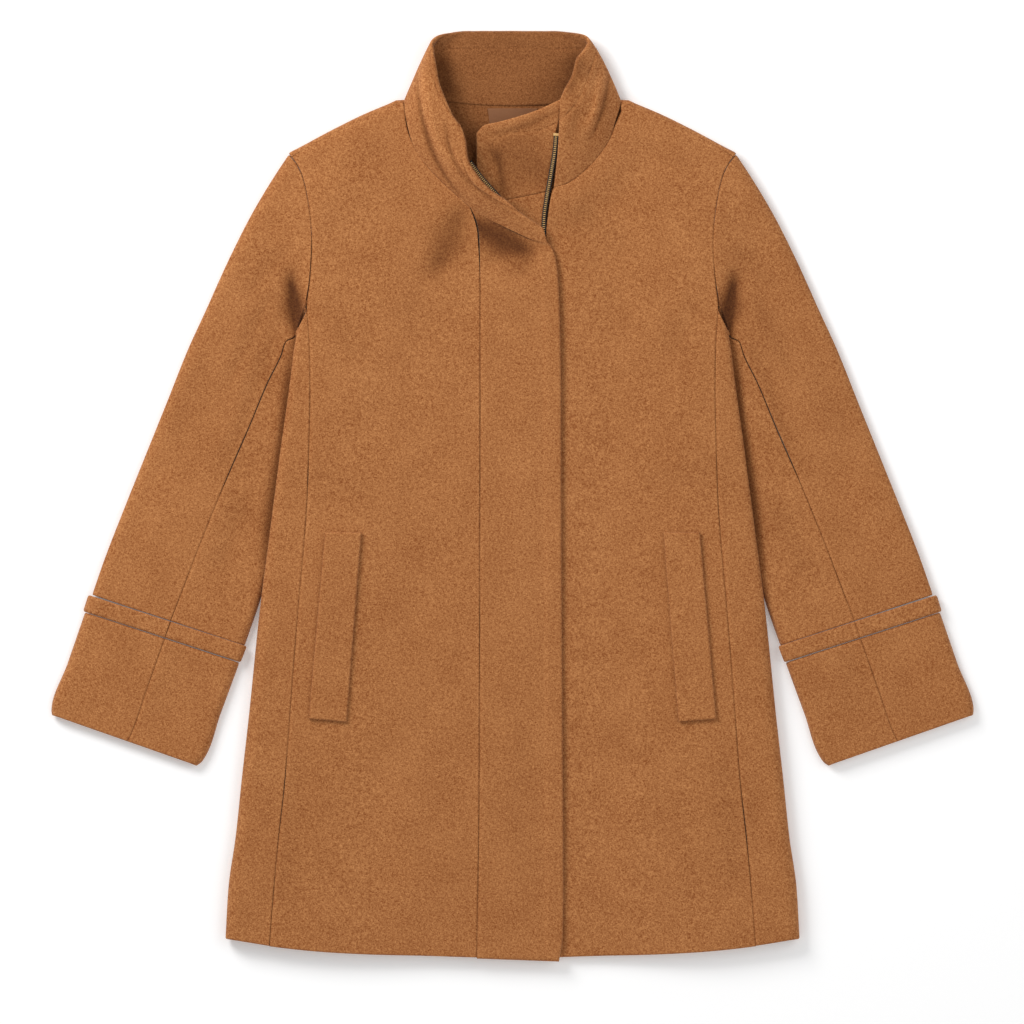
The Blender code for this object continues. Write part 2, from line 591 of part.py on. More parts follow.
def moved_out(rows, distance):
    """A grid moved along its own normals, its neck edge drawn up clear of the seam."""
    moved = []
    last_row, last_step = len(rows) - 1, len(rows[0]) - 1
    for i, row in enumerate(rows):
        line = []
        for j, point in enumerate(row):
            along = rows[min(i + 1, last_row)][j] - rows[max(i - 1, 0)][j]
            up = row[min(j + 1, last_step)] - row[max(j - 1, 0)]
            normal = along.cross(up).normalized()
            place = point + normal * distance
            if j == 0:
                steep = min(1.2, abs(up.z) / Vector((up.x, up.y, 0.0)).length)
                reach = NECK_CLEAR + (COLLAR_GAP + COLLAR_CLOTH / 2) * steep
                place += up.normalized() * min(reach, 0.7 * (row[1] - row[0]).length)
            line.append(place)
        moved.append(line)
    return moved


# ---- the middle of the coat ----------------------------------------------------------------------


def placket_height(x, y):
    wave = 0.35 * sin(y / 61.0) * ease(-462.0, -400.0, y)
    return RIGHT_HEIGHT + wave


def placket_grid():
    shares = [0.0, 0.167, 0.372, 0.59, 0.81, 1.0]
    rows = []
    for row in PLACKET_ROWS:
        line = []
        for share in shares:
            x, y = mix(row.seam_x, row.edge_x, share), mix(row.seam_y, row.edge_y, share)
            line.append((x, y, placket_height(x, y)))
        rows.append(line)
    tops = [section.neck for section in reversed(RIGHT_COLLAR[:6])]
    rows[-1] = [(-x, y, z + COLLAR_GAP * 0.5) for x, y, z in tops]
    return rows


def guard_grid():
    """The underlap behind the zip, from its hem to its neck seam."""
    rows = []
    for y in (-459.0, -380, -250, -100, 40, 150, 215, 250, 275):
        rows.append([(x, y, GUARD_LAYER) for x in (33.4, 20.0, 2.0, -15.0, -29.0, -36.5)])
    rows.append([section.neck for section in GUARD_COLLAR])
    return rows


def guard_collar_grid():
    rows = []
    for step in range(6):
        part = step / 5
        line = []
        for section in GUARD_COLLAR:
            x, y = (mix(section.neck[k], section.top[k], part) for k in (0, 1))
            lift = part ** 1.15
            line.append((x, y, mix(section.neck[2], section.top[2], lift)))
        rows.append(line)
    return rows


def guard_height(y, x):
    """Top of the guard under the zip."""
    if y < 275:
        return GUARD_LAYER + GUARD_CLOTH / 2
    low, high = GUARD_COLLAR[0].neck, GUARD_COLLAR[0].top
    if y < low[1]:
        return mix(GUARD_LAYER, low[2], (y - 275) / (low[1] - 275)) + GUARD_CLOTH / 2
    part = ((y - low[1]) / (high[1] - low[1])) ** 1.15
    return mix(low[2], high[2], part) + GUARD_CLOTH / 2 + 0.6


def strip(name, route, width, thickness, material, collection):
    """A flat tape along a route, lying level across."""
    rows = []
    points = [Vector(point) for point in route]
    for i, point in enumerate(points):
        ahead = points[min(i + 1, len(points) - 1)] - points[max(i - 1, 0)]
        across = Vector((ahead.y, -ahead.x, 0)).normalized() * width / 2
        rows.append([point - across, point, point + across])
    piece(name, rows, thickness, material, collection, sides="")


def welt_grid(side, rows=8, across=3):
    upper_out, upper_in, lower_in, lower_out = WELT
    rise = CLOTH / 2 + REST + 0.1 + WELT_CLOTH / 2
    grid = []
    for i in range(rows + 1):
        part = i / rows
        start = (mix(lower_in[0], upper_in[0], part), mix(lower_in[1], upper_in[1], part))
        end = (mix(lower_out[0], upper_out[0], part), mix(lower_out[1], upper_out[1], part))
        line = []
        for j in range(across + 1):
            x, y = mix(start[0], end[0], j / across), mix(start[1], end[1], j / across)
            line.append((x, y, front_height(side, x, y) + rise))
        grid.append(line)
    return grid


def facing_grid():
    """The inner back-neck facing, a shallow half-moon below the inner collar."""
    height = CLOTH + REST + FACING_CLOTH / 2
    rows = []
    for part in (0.0, 0.25, 0.5, 0.75, 1.0):
        line = []
        for i in range(-5, 6):
            x = FACING_RADIUS * i / 5
            bottom = NECK_SEAM_Y - 12.0 - 62.0 * sqrt(max(0.0, 1.0 - (x / (FACING_RADIUS + 8)) ** 2))
            line.append((x, mix(bottom, NECK_SEAM_Y - 0.3, part), height))
        rows.append(line)
    return rows


def label_grid():
    width, drop = LABEL_SIZE
    height = CLOTH + REST + FACING_CLOTH + REST + LABEL_CLOTH / 2
    rows = []
    for part in (0.0, 0.5, 1.0):
        narrow = mix(width / 2 - 5.0, width / 2, part)
        rows.append([(x, mix(NECK_SEAM_Y - 2.0 - drop, NECK_SEAM_Y - 2.0, part), height)
                     for x in (-narrow, -narrow / 2, 0.0, narrow / 2, narrow)])
    return rows


# ---- main --------------------------------------------------------------------------------------


def main():
    for thing in list(bpy.data.objects):
        bpy.data.objects.remove(thing, do_unlink=True)
    coat = bpy.data.collections.new("lodge coat")
    bpy.context.scene.collection.children.link(coat)
    wool = cloth_material("camel melton", WOOL)
    inside = cloth_material("camel melton, inside", WOOL_DARK)
    satin = cloth_material("label satin", SATIN, roughness=0.6)
    tape = cloth_material("zip tape", ZIP_BLACK, roughness=0.7)

    piece("back", back_grid(), CLOTH, wool, coat)
    piece("placket", placket_grid(), PLACKET_CLOTH, wool, coat)
    piece("zip_guard", guard_grid(), GUARD_CLOTH, wool, coat)
    piece("guard_collar", guard_collar_grid(), GUARD_CLOTH, wool, coat)
    piece("neck_facing", facing_grid(), FACING_CLOTH, inside, coat)
    piece("neck_label", label_grid(), LABEL_CLOTH, satin, coat, sides="")

    for side, word in ((-1, "right"), (1, "left")):
        piece(f"front_{word}", front_grid(side), CLOTH, wool, coat, side=side)
        piece(f"side_{word}", [side_section(row, side) for row in SIDE_ROWS], CLOTH, wool, coat,
              side=side)
        piece(f"pocket_welt_{word}", welt_grid(side), WELT_CLOTH, wool, coat, sides="",
              side=side)
        tube_piece(f"top_sleeve_{word}", SLEEVE_ROWS, side, False, CLOTH, wool, coat)
        tube_piece(f"under_sleeve_{word}", SLEEVE_ROWS, side, True, CLOTH, wool, coat)
        tube_piece(f"cuff_band_outer_{word}", BAND_ROWS, side, False, BAND_CLOTH, wool, coat)
        tube_piece(f"cuff_band_inner_{word}", BAND_ROWS, side, True, BAND_CLOTH, wool, coat)
        tube_piece(f"cuff_outer_{word}", CUFF_ROWS, side, False, CLOTH, wool, coat)
        tube_piece(f"cuff_inner_{word}", CUFF_ROWS, side, True, CLOTH, wool, coat)

    right = collar_core(RIGHT_COLLAR, -1)
    left = collar_core(LEFT_COLLAR, 1)
    piece("collar_right", moved_out(right, -COLLAR_GAP), COLLAR_CLOTH, wool, coat)
    piece("collar_left", moved_out(left, COLLAR_GAP), COLLAR_CLOTH, wool, coat)
    loop = right[2:] + list(reversed(left))[1:]
    piece("inner_collar", moved_out(loop, COLLAR_GAP), COLLAR_CLOTH, inside, coat)

    on_guard = [(x, y, guard_height(y, x) + REST + ZIP_CLOTH / 2) for x, y, _ in ZIP_LEFT]
    strip("zip_left", on_guard, ZIP_WIDTH, ZIP_CLOTH, tape, coat)
    strip("zip_right", ZIP_RIGHT, ZIP_WIDTH, ZIP_CLOTH, tape, coat)


if __name__ == "__main__":
    main()
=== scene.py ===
"""Dress a lady's lodge coat of camel melton, laid flat on its back.

The frame's solids give each cut piece its place and rough form. This script restates their
middle surfaces, redrawn in places (collar, neck, front edge, sleeves and zip), draws them finely,
thickens them into cloth with rounded edges, sewn-in seams and creases, and gives them felted
wool, satin, tape and brass.
Sizes and tables are in millimetres; meshes are made in metres.
"""

import logging
from collections import namedtuple
from dataclasses import dataclass, field
from enum import Enum
from math import cos, pi, sin, sqrt
from typing import Sequence, Union

import bpy
import numpy as np
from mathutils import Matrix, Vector

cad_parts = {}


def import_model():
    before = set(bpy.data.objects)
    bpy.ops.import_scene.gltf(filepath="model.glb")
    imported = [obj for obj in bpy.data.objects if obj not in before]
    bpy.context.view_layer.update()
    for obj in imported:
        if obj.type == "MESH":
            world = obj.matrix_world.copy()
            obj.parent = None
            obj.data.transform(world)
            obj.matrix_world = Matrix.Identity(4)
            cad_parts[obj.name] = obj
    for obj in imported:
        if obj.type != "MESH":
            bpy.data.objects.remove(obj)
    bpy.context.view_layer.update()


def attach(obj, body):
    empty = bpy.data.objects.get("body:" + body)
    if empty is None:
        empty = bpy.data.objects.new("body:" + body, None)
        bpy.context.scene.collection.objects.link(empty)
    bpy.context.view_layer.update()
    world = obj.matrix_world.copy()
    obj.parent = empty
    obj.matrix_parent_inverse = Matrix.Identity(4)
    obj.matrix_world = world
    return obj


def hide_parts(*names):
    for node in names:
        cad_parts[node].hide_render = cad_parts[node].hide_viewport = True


log = logging.getLogger("lodge coat")

MM = 0.001
Grid = np.ndarray
Point = tuple[float, float, float]

# ---- the coat's sizes ----------------------------------------------------------------------------

CLOTH = 3.0            # melton with its backing
COLLAR_CLOTH = 2.6     # each of the collar's two layers
BAND_CLOTH = 4.4       # the cuff band is folded double
GUARD_CLOTH = 3.0
PLACKET_CLOTH = 4.4    # the placket is cloth and facing
FACING_CLOTH = 2.0
LABEL_CLOTH = 0.9
WELT_CLOTH = 3.6
REST = 0.3             # clearance between layers that lie on each other

FLOOR_LAYER = CLOTH / 2            # middle of the layer that rests on the table
GUARD_LAYER = FLOOR_LAYER + (CLOTH + GUARD_CLOTH) / 2 + REST   # middle of the zip guard
TUCK_AIR = 2.0         # between the sleeve's two layers where the body lies on them
TUCK_LAYER = FLOOR_LAYER + CLOTH + TUCK_AIR   # middle of the sleeve's upper layer there
TUCK_LIFT = 2 * CLOTH + TUCK_AIR + REST       # how far it lifts the body's side
SIDE_HEIGHT = 14.6     # middle of the front's cloth along the side folds
RIGHT_HEIGHT = 11.2    # middle of the right front's cloth at the placket seam
LEFT_HEIGHT = 7.0      # middle of the left front's cloth at the middle of the coat
NECK_HEIGHT = 12.6     # middle of both fronts' cloth at the neck seam
SHOULDER_HEIGHT = 11.0
EDGE_ROLL = 12.0       # width of the rounding of a fold
FLOOR_ROLL = 7.0       # width of the rounding of a fold on the table side
SHOULDER_SEAM = 3.6    # the shoulder seam lies this far in front of the shoulder's fold
COLLAR_GAP = COLLAR_CLOTH / 2 + 0.6    # from the collar's core to either layer's middle
SHOULDER_TILT = cos(0.45)

# ---- tables, mm; half-widths from the middle line, heights up the coat -----------------------

Side = namedtuple("Side", "y edge")
SIDE_EDGE = [
    Side(-443, 286.0), Side(-428, 286.2), Side(-348, 276.6), Side(-284, 269.8), Side(-180, 258.3),
    Side(-139, 254.4), Side(-98, 250.0), Side(-64, 245.5), Side(0, 237.2), Side(60, 229.2),
    Side(126, 220.0), Side(140, 218.4), Side(155, 215.8), Side(171, 212.6),
]

Hem = namedtuple("Hem", "x drop")
HEM = [Hem(0, 462.0), Hem(35, 461.5), Hem(90, 459.8), Hem(143, 458.6), Hem(203, 455.0),
       Hem(243, 450.4), Hem(286, 443.4)]

# Sections of the side panel: where each starts on the front princess seam and on the back
# one, and the height at which it passes the side fold.
SideRow = namedtuple("SideRow", "front_x front_y edge_y back_x back_y roll")
SIDE_ROWS = [
    SideRow(243.2, -450, -443, 237.0, -451, 12.0),
    SideRow(239.0, -396, -392, 232.0, -397, 12.0),
    SideRow(234.0, -342, -340, 226.0, -342, 12.0),
    SideRow(227.6, -284, -284, 219.0, -284, 12.0),
    SideRow(222.6, -218, -218, 213.0, -218, 12.0),
    SideRow(217.3, -149, -149, 206.0, -149, 12.0),
    SideRow(213.1, -98, -98, 200.0, -98, 12.0),
    SideRow(208.6, -48, -48, 193.0, -48, 10.0),
    SideRow(205.3, 0, 0, 186.0, 0, 9.0),
    SideRow(203.6, 55, 55, 178.5, 55, 8.0),
    SideRow(202.6, 100, 100, 174.0, 100, 7.5),
    SideRow(202.7, 130, 128, 176.5, 130, 7.0),
    SideRow(203.3, 152, 144, 183.0, 150, 6.0),
    SideRow(204.4, 168, 154, 193.0, 168, 5.0),
    SideRow(205.8, 186.5, 167, 205.8, 186.5, 4.0),
]

# Rows of a front, each from its inner edge (placket or zip, then neck) to its outer edge
# (princess seam, then armhole).
FrontRow = namedtuple("FrontRow", "in_x in_y out_x out_y")
PRINCESS_Y_IN = [-461.5, -404, -345, -285, -218, -149, -98, -45, 5, 62, 112, 148, 178, 205, 232]
RIGHT_PLACKET_X = [35.7, 34.8, 33.9, 33.2, 33.0, 32.9, 32.8, 32.7, 32.6, 32.5, 32.4, 32.3, 32.3,
                   32.4, 33.0]
LEFT_ZIP_X = 34.2
RIGHT_UPPER = [
    FrontRow(34.9, 262, 202.6, 217), FrontRow(43.0, 290, 201.3, 236),
    FrontRow(56.0, 301.5, 200.6, 252), FrontRow(66.5, 311, 201.3, 270),
    FrontRow(79.0, 323.5, 203.4, 288), FrontRow(89.5, 336, 206.3, 305),
    FrontRow(99.1, 351.4, 210.5, 321), FrontRow(106.4, 371.6, 215.5, 331.5),
    FrontRow(107.7, 382.4, 217.6, 334.7), FrontRow(108.3, 387.4, 219.0, 336.7),
    FrontRow(108.9, 392.2, 220.6, 338.6),
]
LEFT_UPPER = [
    FrontRow(34.0, 262, 202.6, 217), FrontRow(36.9, 290, 201.3, 236),
    FrontRow(41.0, 308, 200.6, 252), FrontRow(55.0, 313, 201.3, 270),
    FrontRow(67.5, 322, 203.4, 288), FrontRow(83.5, 338, 206.3, 305),
    FrontRow(96.8, 356.8, 210.5, 321), FrontRow(104.3, 374.5, 215.5, 331.5),
    FrontRow(108.6, 383.2, 217.6, 334.7), FrontRow(108.3, 387.4, 219.0, 336.7),
    FrontRow(108.9, 392.2, 220.6, 338.6),
]

Shoulder = namedtuple("Shoulder", "x y")
SHOULDER = [Shoulder(100, 401.5), Shoulder(109.5, 397.5), Shoulder(150, 380.5),
            Shoulder(183, 364), Shoulder(208, 350.5), Shoulder(222, 341.8)]

# Sections of a sleeve from the armhole down: its outer and inner folds, where the front seam
# crosses it (0 at the outer fold, 1 at the inner one), the cloth's height in the middle and
# along the inner fold, and the inner fold's rounding.
SleeveRow = namedtuple("SleeveRow", "out_x out_y in_x in_y seam middle inner roll bow turn", defaults=[0.0])
SLEEVE_ROWS = [
    SleeveRow(223.0, 341.0, 206.6, 187.4, 0.972, 12.8, 11.5, 3.4, 1.00),
    SleeveRow(231.5, 328.5, 208.4, 178.0, 0.972, 12.0, 10.4, 3.4, 0.86, 3.0),
    SleeveRow(243.0, 310.5, 211.5, 167.0, 0.972, 11.0, 8.8, 3.4, 0.70, 3.5),
    SleeveRow(262.0, 278.0, 214.0, 153.5, 0.958, 9.8, TUCK_LAYER, 3.1, 0.45, 4.0),
    SleeveRow(284.5, 233.0, 213.0, 139.0, 0.831, 9.0, TUCK_LAYER, 3.1, 0.22, 3.0),
    SleeveRow(305.0, 187.5, 200.5, 120.0, 0.696, 8.6, TUCK_LAYER, 3.1, 0.08),
    SleeveRow(323.5, 147.0, 197.0, 93.0, 0.622, 8.4, TUCK_LAYER, 3.1, 0.0),
    SleeveRow(343.5, 97.0, 206.0, 50.0, 0.584, 8.4, TUCK_LAYER, 3.1, 0.0),
    SleeveRow(366.0, 41.0, 223.0, -4.0, 0.556, 8.4, TUCK_LAYER, 3.1, 0.0),
    SleeveRow(387.3, -12.0, 240.0, -60.0, 0.535, 8.4, TUCK_LAYER, 3.1, 0.0),
    SleeveRow(407.5, -64.0, 257.0, -114.0, 0.524, 8.4, 7.4, 4.5, 0.0),
    SleeveRow(419.6, -99.0, 269.2, -149.0, 0.516, 8.4, 8.2, 8.0, 0.0),
]
CUFF_ROWS = [
    SleeveRow(426.0, -116.9, 274.6, -166.4, 0.516, 8.4, 8.2, 11.0, 0.0),
    SleeveRow(443.4, -167.5, 293.0, -216.5, 0.517, 8.4, 8.2, 11.0, 0.0),
    SleeveRow(459.6, -214.5, 311.5, -264.5, 0.519, 8.4, 8.2, 11.0, 0.0),
    SleeveRow(459.0, -219.5, 317.5, -269.0, 0.519, 8.4, 8.2, 11.0, 0.0),
]
BAND_ROWS = [
    SleeveRow(422.1, -99.5, 266.7, -149.9, 0.516, 9.2, 9.0, 11.0, 0.0),
    SleeveRow(427.4, -115.9, 273.0, -166.0, 0.516, 9.2, 9.0, 11.0, 0.0),
]
# The collar's core, halfway between its two layers: its neck seam, the point that bends it and
# its top edge, from the front end round to the middle of the back.
CollarRow = namedtuple("CollarRow", "neck bend top")
CORE_FRONT = NECK_HEIGHT - COLLAR_GAP
RIGHT_COLLAR = [
    CollarRow((-35, 254, 11.6), (-33, 261, 14), (-30.5, 268.5, 15)),
    CollarRow((-20, 258, 11.2), (-15, 268, 15), (-10, 282.5, 19)),
    CollarRow((-3, 265.5, 11.0), (1, 278, 17), (5, 295.5, 22.5)),
    CollarRow((14, 274, 10.9), (18, 288, 19), (21, 306, 25.5)),
    CollarRow((30, 282.5, 10.8), (34, 298, 21), (33.5, 319, 28.5)),
    CollarRow((43, 290, 10.6), (46, 311, 23), (44, 336, 31)),
    CollarRow((56, 301.5, CORE_FRONT), (57, 330, 27), (47, 357, 33.5)),
    CollarRow((66.5, 311, CORE_FRONT), (66, 345, 28), (51, 369, 34)),
    CollarRow((79, 323.5, CORE_FRONT), (76, 358, 28), (59, 380.5, 34)),
    CollarRow((89.5, 336, CORE_FRONT), (87, 372, 27), (67, 397, 33.5)),
    CollarRow((98.5, 352, CORE_FRONT), (95, 388, 25), (73.5, 414, 32)),
    CollarRow((104.2, 372, 10.6), (97, 405, 22), (76.5, 431, 30)),
    CollarRow((106.4, 385.5, 9.8), (94, 418, 18.5), (79, 445, 26)),
    CollarRow((105.9, 393.5, 7.2), (90.5, 431, 15), (79, 454.5, 20)),
    CollarRow((101.8, 397.2, 4.8), (86, 444, 12), (72.5, 460.4, 13)),
    CollarRow((92.0, 397, 3.5), (80, 446, 6), (56, 463.9, 6.4)),
    CollarRow((66.0, 394, 3.35), (54, 430, 3.4), (36, 464.9, 4.2)),
    CollarRow((33.0, 391, 3.35), (26, 430, 3.35), (16, 465.0, 3.8)),
    CollarRow((0.0, 390, 3.35), (0, 430, 3.35), (0, 465.1, 3.7)),
]
LEFT_COLLAR = [
    CollarRow((41.0, 308, CORE_FRONT), (46.8, 348, 23), (47.4, 397, 30)),
    CollarRow((55.0, 313, CORE_FRONT), (56, 358, 26), (51, 404, 31)),
    CollarRow((67.5, 322, CORE_FRONT), (68, 368, 27), (55.5, 412, 31.5)),
    CollarRow((83.5, 338, CORE_FRONT), (82, 380, 26), (59.5, 420, 31)),
    CollarRow((96.1, 357.4, CORE_FRONT), (91, 394, 24), (62, 429, 30)),
    CollarRow((102.0, 375, 10.6), (93, 408, 20.5), (64.5, 438, 27)),
    CollarRow((105.8, 386.5, 9.6), (92, 420, 17), (71, 446.5, 22.5)),
    CollarRow((105.9, 393.5, 7.2), (90.5, 434, 14), (75, 454.5, 17.5)),
    CollarRow((101.8, 397.2, 4.8), (86.5, 444, 11.5), (70.5, 460.4, 12.2)),
    CollarRow((92.0, 397, 3.5), (78.5, 446, 6), (53, 463.9, 6.2)),
    CollarRow((66.0, 394, 3.35), (54, 430, 3.4), (32, 464.9, 4.1)),
    CollarRow((33.0, 391, 3.35), (26, 430, 3.35), (13, 465.0, 3.8)),
    CollarRow((0.0, 390, 3.35), (0, 430, 3.35), (0, 465.1, 3.7)),
]
NECK_CLEAR = 0.2       # the collar's neck edge, drawn up from the seam line

# The zip guard's collar end, from the zip to its free edge (x towards the wearer's left).
GuardRow = namedtuple("GuardRow", "neck top")
GUARD_COLLAR = [
    GuardRow((36.5, 305.5, 8.0), (46.5, 396.6, 29.6)),
    GuardRow((20.0, 301.5, 7.1), (23.5, 385.6, 26.6)),
    GuardRow((2.0, 298.0, 6.2), (3.0, 378.8, 24.5)),
    GuardRow((-15.0, 295.0, 5.5), (-14.0, 374.2, 22.5)),
    GuardRow((-29.0, 293.0, 5.0), (-28.0, 371.0, 20.5)),
    GuardRow((-36.5, 292.0, 4.9), (-36.0, 363.0, 18.5)),
]

# The placket's rows (x towards the wearer's left): its seam and its free edge.
PlacketRow = namedtuple("PlacketRow", "seam_x seam_y edge_x edge_y")
PLACKET_ROWS = [
    PlacketRow(-35.7, -462.6, 46.5, -465.6), PlacketRow(-35.3, -440, 50.4, -441),
    PlacketRow(-34.4, -375, 51.0, -375), PlacketRow(-33.2, -284, 50.4, -284),
    PlacketRow(-32.9, -149, 49.6, -149), PlacketRow(-32.6, -20, 49.0, -20),
    PlacketRow(-32.4, 96, 48.7, 96), PlacketRow(-32.3, 156, 48.0, 156),
    PlacketRow(-32.3, 199, 46.8, 197), PlacketRow(-33.0, 232, 45.4, 222),
    PlacketRow(-34.9, 262, 42.6, 240), PlacketRow(-38.5, 278, 39.5, 248),
    PlacketRow(-43.0, 290, 35.0, 254),
]

# The routes of the two zip halves (x towards the wearer's left).
ZIP_LEFT = [(44.0, 362, 0), (42.4, 345, 0), (38.6, 322, 0), (34.4, 298, 0), (31.6, 275, 0),
            (31.2, 250, 0), (31.2, 225, 0), (31.2, 60, 0), (31.2, -110, 0), (31.2, -280, 0),
            (31.2, -445, 0)]
ZIP_RIGHT = [(-43.0, 334.5, 22.0), (-32.5, 320.0, 19.5), (-22.5, 308.5, 17.0),
             (-10.5, 295.5, 14.3), (0.5, 284.5, 11.8), (11.0, 272.0, 9.3), (19.5, 258.0, 7.6),
             (24.6, 240.0, 7.2), (25.6, 222.0, 7.2), (25.6, 60, 7.2), (25.6, -110, 7.2),
             (25.6, -280, 7.2), (25.6, -445, 7.2)]
ZIP_WIDTH = 4.8        # of the tape that is drawn
ZIP_CLOTH = 1.2

# A pocket welt's corners: upper outer, upper inner, lower inner, lower outer.
WELT = [(187.4, -36.2), (151.0, -36.4), (166.0, -226.0), (203.8, -223.0)]

NECK_SEAM_Y = 389.6    # where the inner collar meets the facing at the back
FACING_RADIUS = 78.0
LABEL_SIZE = (50.0, 34.0)

ARMHOLE_X = {341: 223.0, 331.5: 215.5, 321: 210.5, 305: 206.3, 288: 203.4, 270: 201.3,
             252: 200.6, 236: 201.3, 217: 202.6, 190: 206.5}
ARMHOLE_TOP, ARMHOLE_LOW = 341.0, 187.0
ARMHOLE_HIGH = 331.5   # the armhole's height in the fronts' eighth upper row
UNDERARM_Y = 190.0     # its height at the top of the body's lower rows
HEM_START = -446.0     # points below this keep to the hem's curve
FOLD_TURNS = (90, 75, 60, 45, 30, 15, 0)    # degrees round a fold, from its top to its edge
INNER_TURNS = (90, 72, 54, 36, 18, 0)       # the same round a sleeve's inner fold
FLOOR_TURNS = (22, 45, 68, 90)              # degrees from the edge on down to the under layer
TURN_REACH = 0.35      # how far from the inner fold a section is bent to meet it squarely
TUCK_LEAD = 16.0       # the body is lifted this far above where the sleeve is tucked
BACK_COLUMNS = [0.0, 0.15, 0.30, 0.41, 0.466, 0.503, 0.55, 0.67, 0.77, 0.87, 0.94, 1.0]
NECK_SHARE = 0.50      # columns nearer the middle than this end on the neck seam

COLLAR_TURN = (0.0, 262.0, 40.0)    # x, y and radius where the placket rolls into the collar

# Creases and swells of the laid-out cloth: the line each runs along (x towards the wearer's left), how deep
# its trough is (a ridge is negative), how wide, and how strongly painted shade darkens it for that depth (a
# ridge gets a painted highlight).
Crease = namedtuple("Crease", "line depth width shade", defaults=[1.0])
# The first line paints the shade of the dip beside the placket, under the collar's roll.
FRONT_CREASES = [
    Crease([(-36, 300), (-52, 280), (-66, 246), (-88, 210)], 2.4, 15.0, 1.9),
    Crease([(-60, 262), (-92, 205), (-108, 150)], 0.6, 18.0),
    Crease([(52, 300), (84, 268), (128, 240)], 1.0, 13.0),
    Crease([(66, 262), (96, 200), (112, 140)], 0.5, 18.0),
    Crease([(-110, 360), (-150, 338), (-192, 318)], 0.5, 9.0),
    Crease([(112, 358), (152, 340), (194, 322)], 0.5, 9.0),
    Crease([(-196, 205), (-170, 170), (-150, 120)], 0.7, 13.0),
    Crease([(196, 208), (172, 172), (148, 126)], 0.7, 13.0),
    Crease([(-232, 30), (-180, 10), (-120, -2)], 0.5, 16.0),
    Crease([(232, 44), (184, 20), (126, 4)], 0.5, 16.0),
    Crease([(-120, -250), (-112, -340), (-118, -440)], -0.7, 24.0),
    Crease([(118, -240), (108, -330), (114, -440)], -0.7, 24.0),
    Crease([(-214, -236), (-222, -330), (-232, -430)], 0.6, 16.0),
    Crease([(214, -236), (222, -330), (232, -430)], 0.6, 16.0),
]
# The first line paints the dark shadow under the collar's roll, where the placket runs into it.
PLACKET_CREASES = [
    Crease([(-60, 284), (-28, 266), (-2, 254), (34, 236)], 3.6, 15.0, 2.2),
    Crease([(-24, 250), (2, 232), (22, 214)], 1.2, 14.0, 1.4),
    Crease([(-28, 232), (0, 214), (30, 208)], -0.5, 10.0),
    Crease([(8, 160), (10, 60), (6, -60)], -0.35, 14.0),
    Crease([(6, -180), (12, -300), (8, -420)], 0.35, 14.0),
]
# On each side, the first line paints the shade of the dip at the underarm and the second the body's contact
# shadow along its side edge.
SLEEVE_CREASES = [
    Crease([(-225, 234), (-219, 200), (-214, 168), (-212, 140)], 4.2, 8.5, 2.3),
    Crease([(-215, 176), (-221, 126), (-237, 0), (-252, -110)], 1.8, 7.0, 3.4),
    Crease([(-226, 186), (-246, 130), (-272, 60), (-300, -10)], 1.4, 11.0),
    Crease([(-236, 214), (-262, 160), (-292, 96)], 1.1, 9.0),
    Crease([(-214, 250), (-236, 236), (-268, 196)], 0.9, 10.0),
    Crease([(-330, 40), (-356, -14), (-378, -74)], -0.8, 16.0),
    Crease([(-262, 8), (-284, -48), (-300, -92)], 0.9, 11.0),
    Crease([(-300, 150), (-322, 96), (-340, 40)], 0.6, 15.0),
    Crease([(225, 234), (219, 200), (214, 168), (212, 140)], 4.2, 8.5, 2.3),
    Crease([(215, 176), (221, 126), (237, 0), (252, -110)], 1.8, 7.0, 3.4),
    Crease([(226, 186), (248, 128), (270, 66), (296, 0)], 1.4, 11.0),
    Crease([(236, 216), (264, 158), (288, 104)], 1.1, 9.0),
    Crease([(214, 252), (238, 234), (266, 200)], 0.9, 10.0),
    Crease([(330, 36), (354, -18), (380, -70)], -0.8, 16.0),
    Crease([(262, 4), (282, -44), (304, -96)], 0.9, 11.0),
    Crease([(302, 146), (320, 100), (342, 36)], 0.6, 15.0),
]
CUFF_CREASES = [
    Crease([(-330, -146), (-346, -196), (-352, -240)], 0.5, 14.0),
    Crease([(-400, -136), (-416, -180), (-428, -220)], -0.4, 14.0),
    Crease([(330, -146), (344, -190), (354, -240)], 0.5, 14.0),
    Crease([(400, -136), (414, -184), (430, -222)], -0.4, 14.0),
]

# Dips in the guard's lap, darkened with strong painted shade, and a groove and a ridge across its top.
GUARD_CREASES = [
    Crease([(-40, 352), (-8, 340), (16, 330), (60, 316)], 0.4, 28.0, 9.0),
    Crease([(-30, 356), (-16, 340), (-10, 312), (-8, 290)], 0.6, 5.0, 6.0),
    Crease([(-40, 360), (-12, 364), (14, 371), (44, 384), (70, 398)], 0.5, 2.4, 6.0),
    Crease([(-40, 372), (-12, 373), (14, 380), (44, 393), (70, 404)], -0.9, 4.5, 2.0),
]

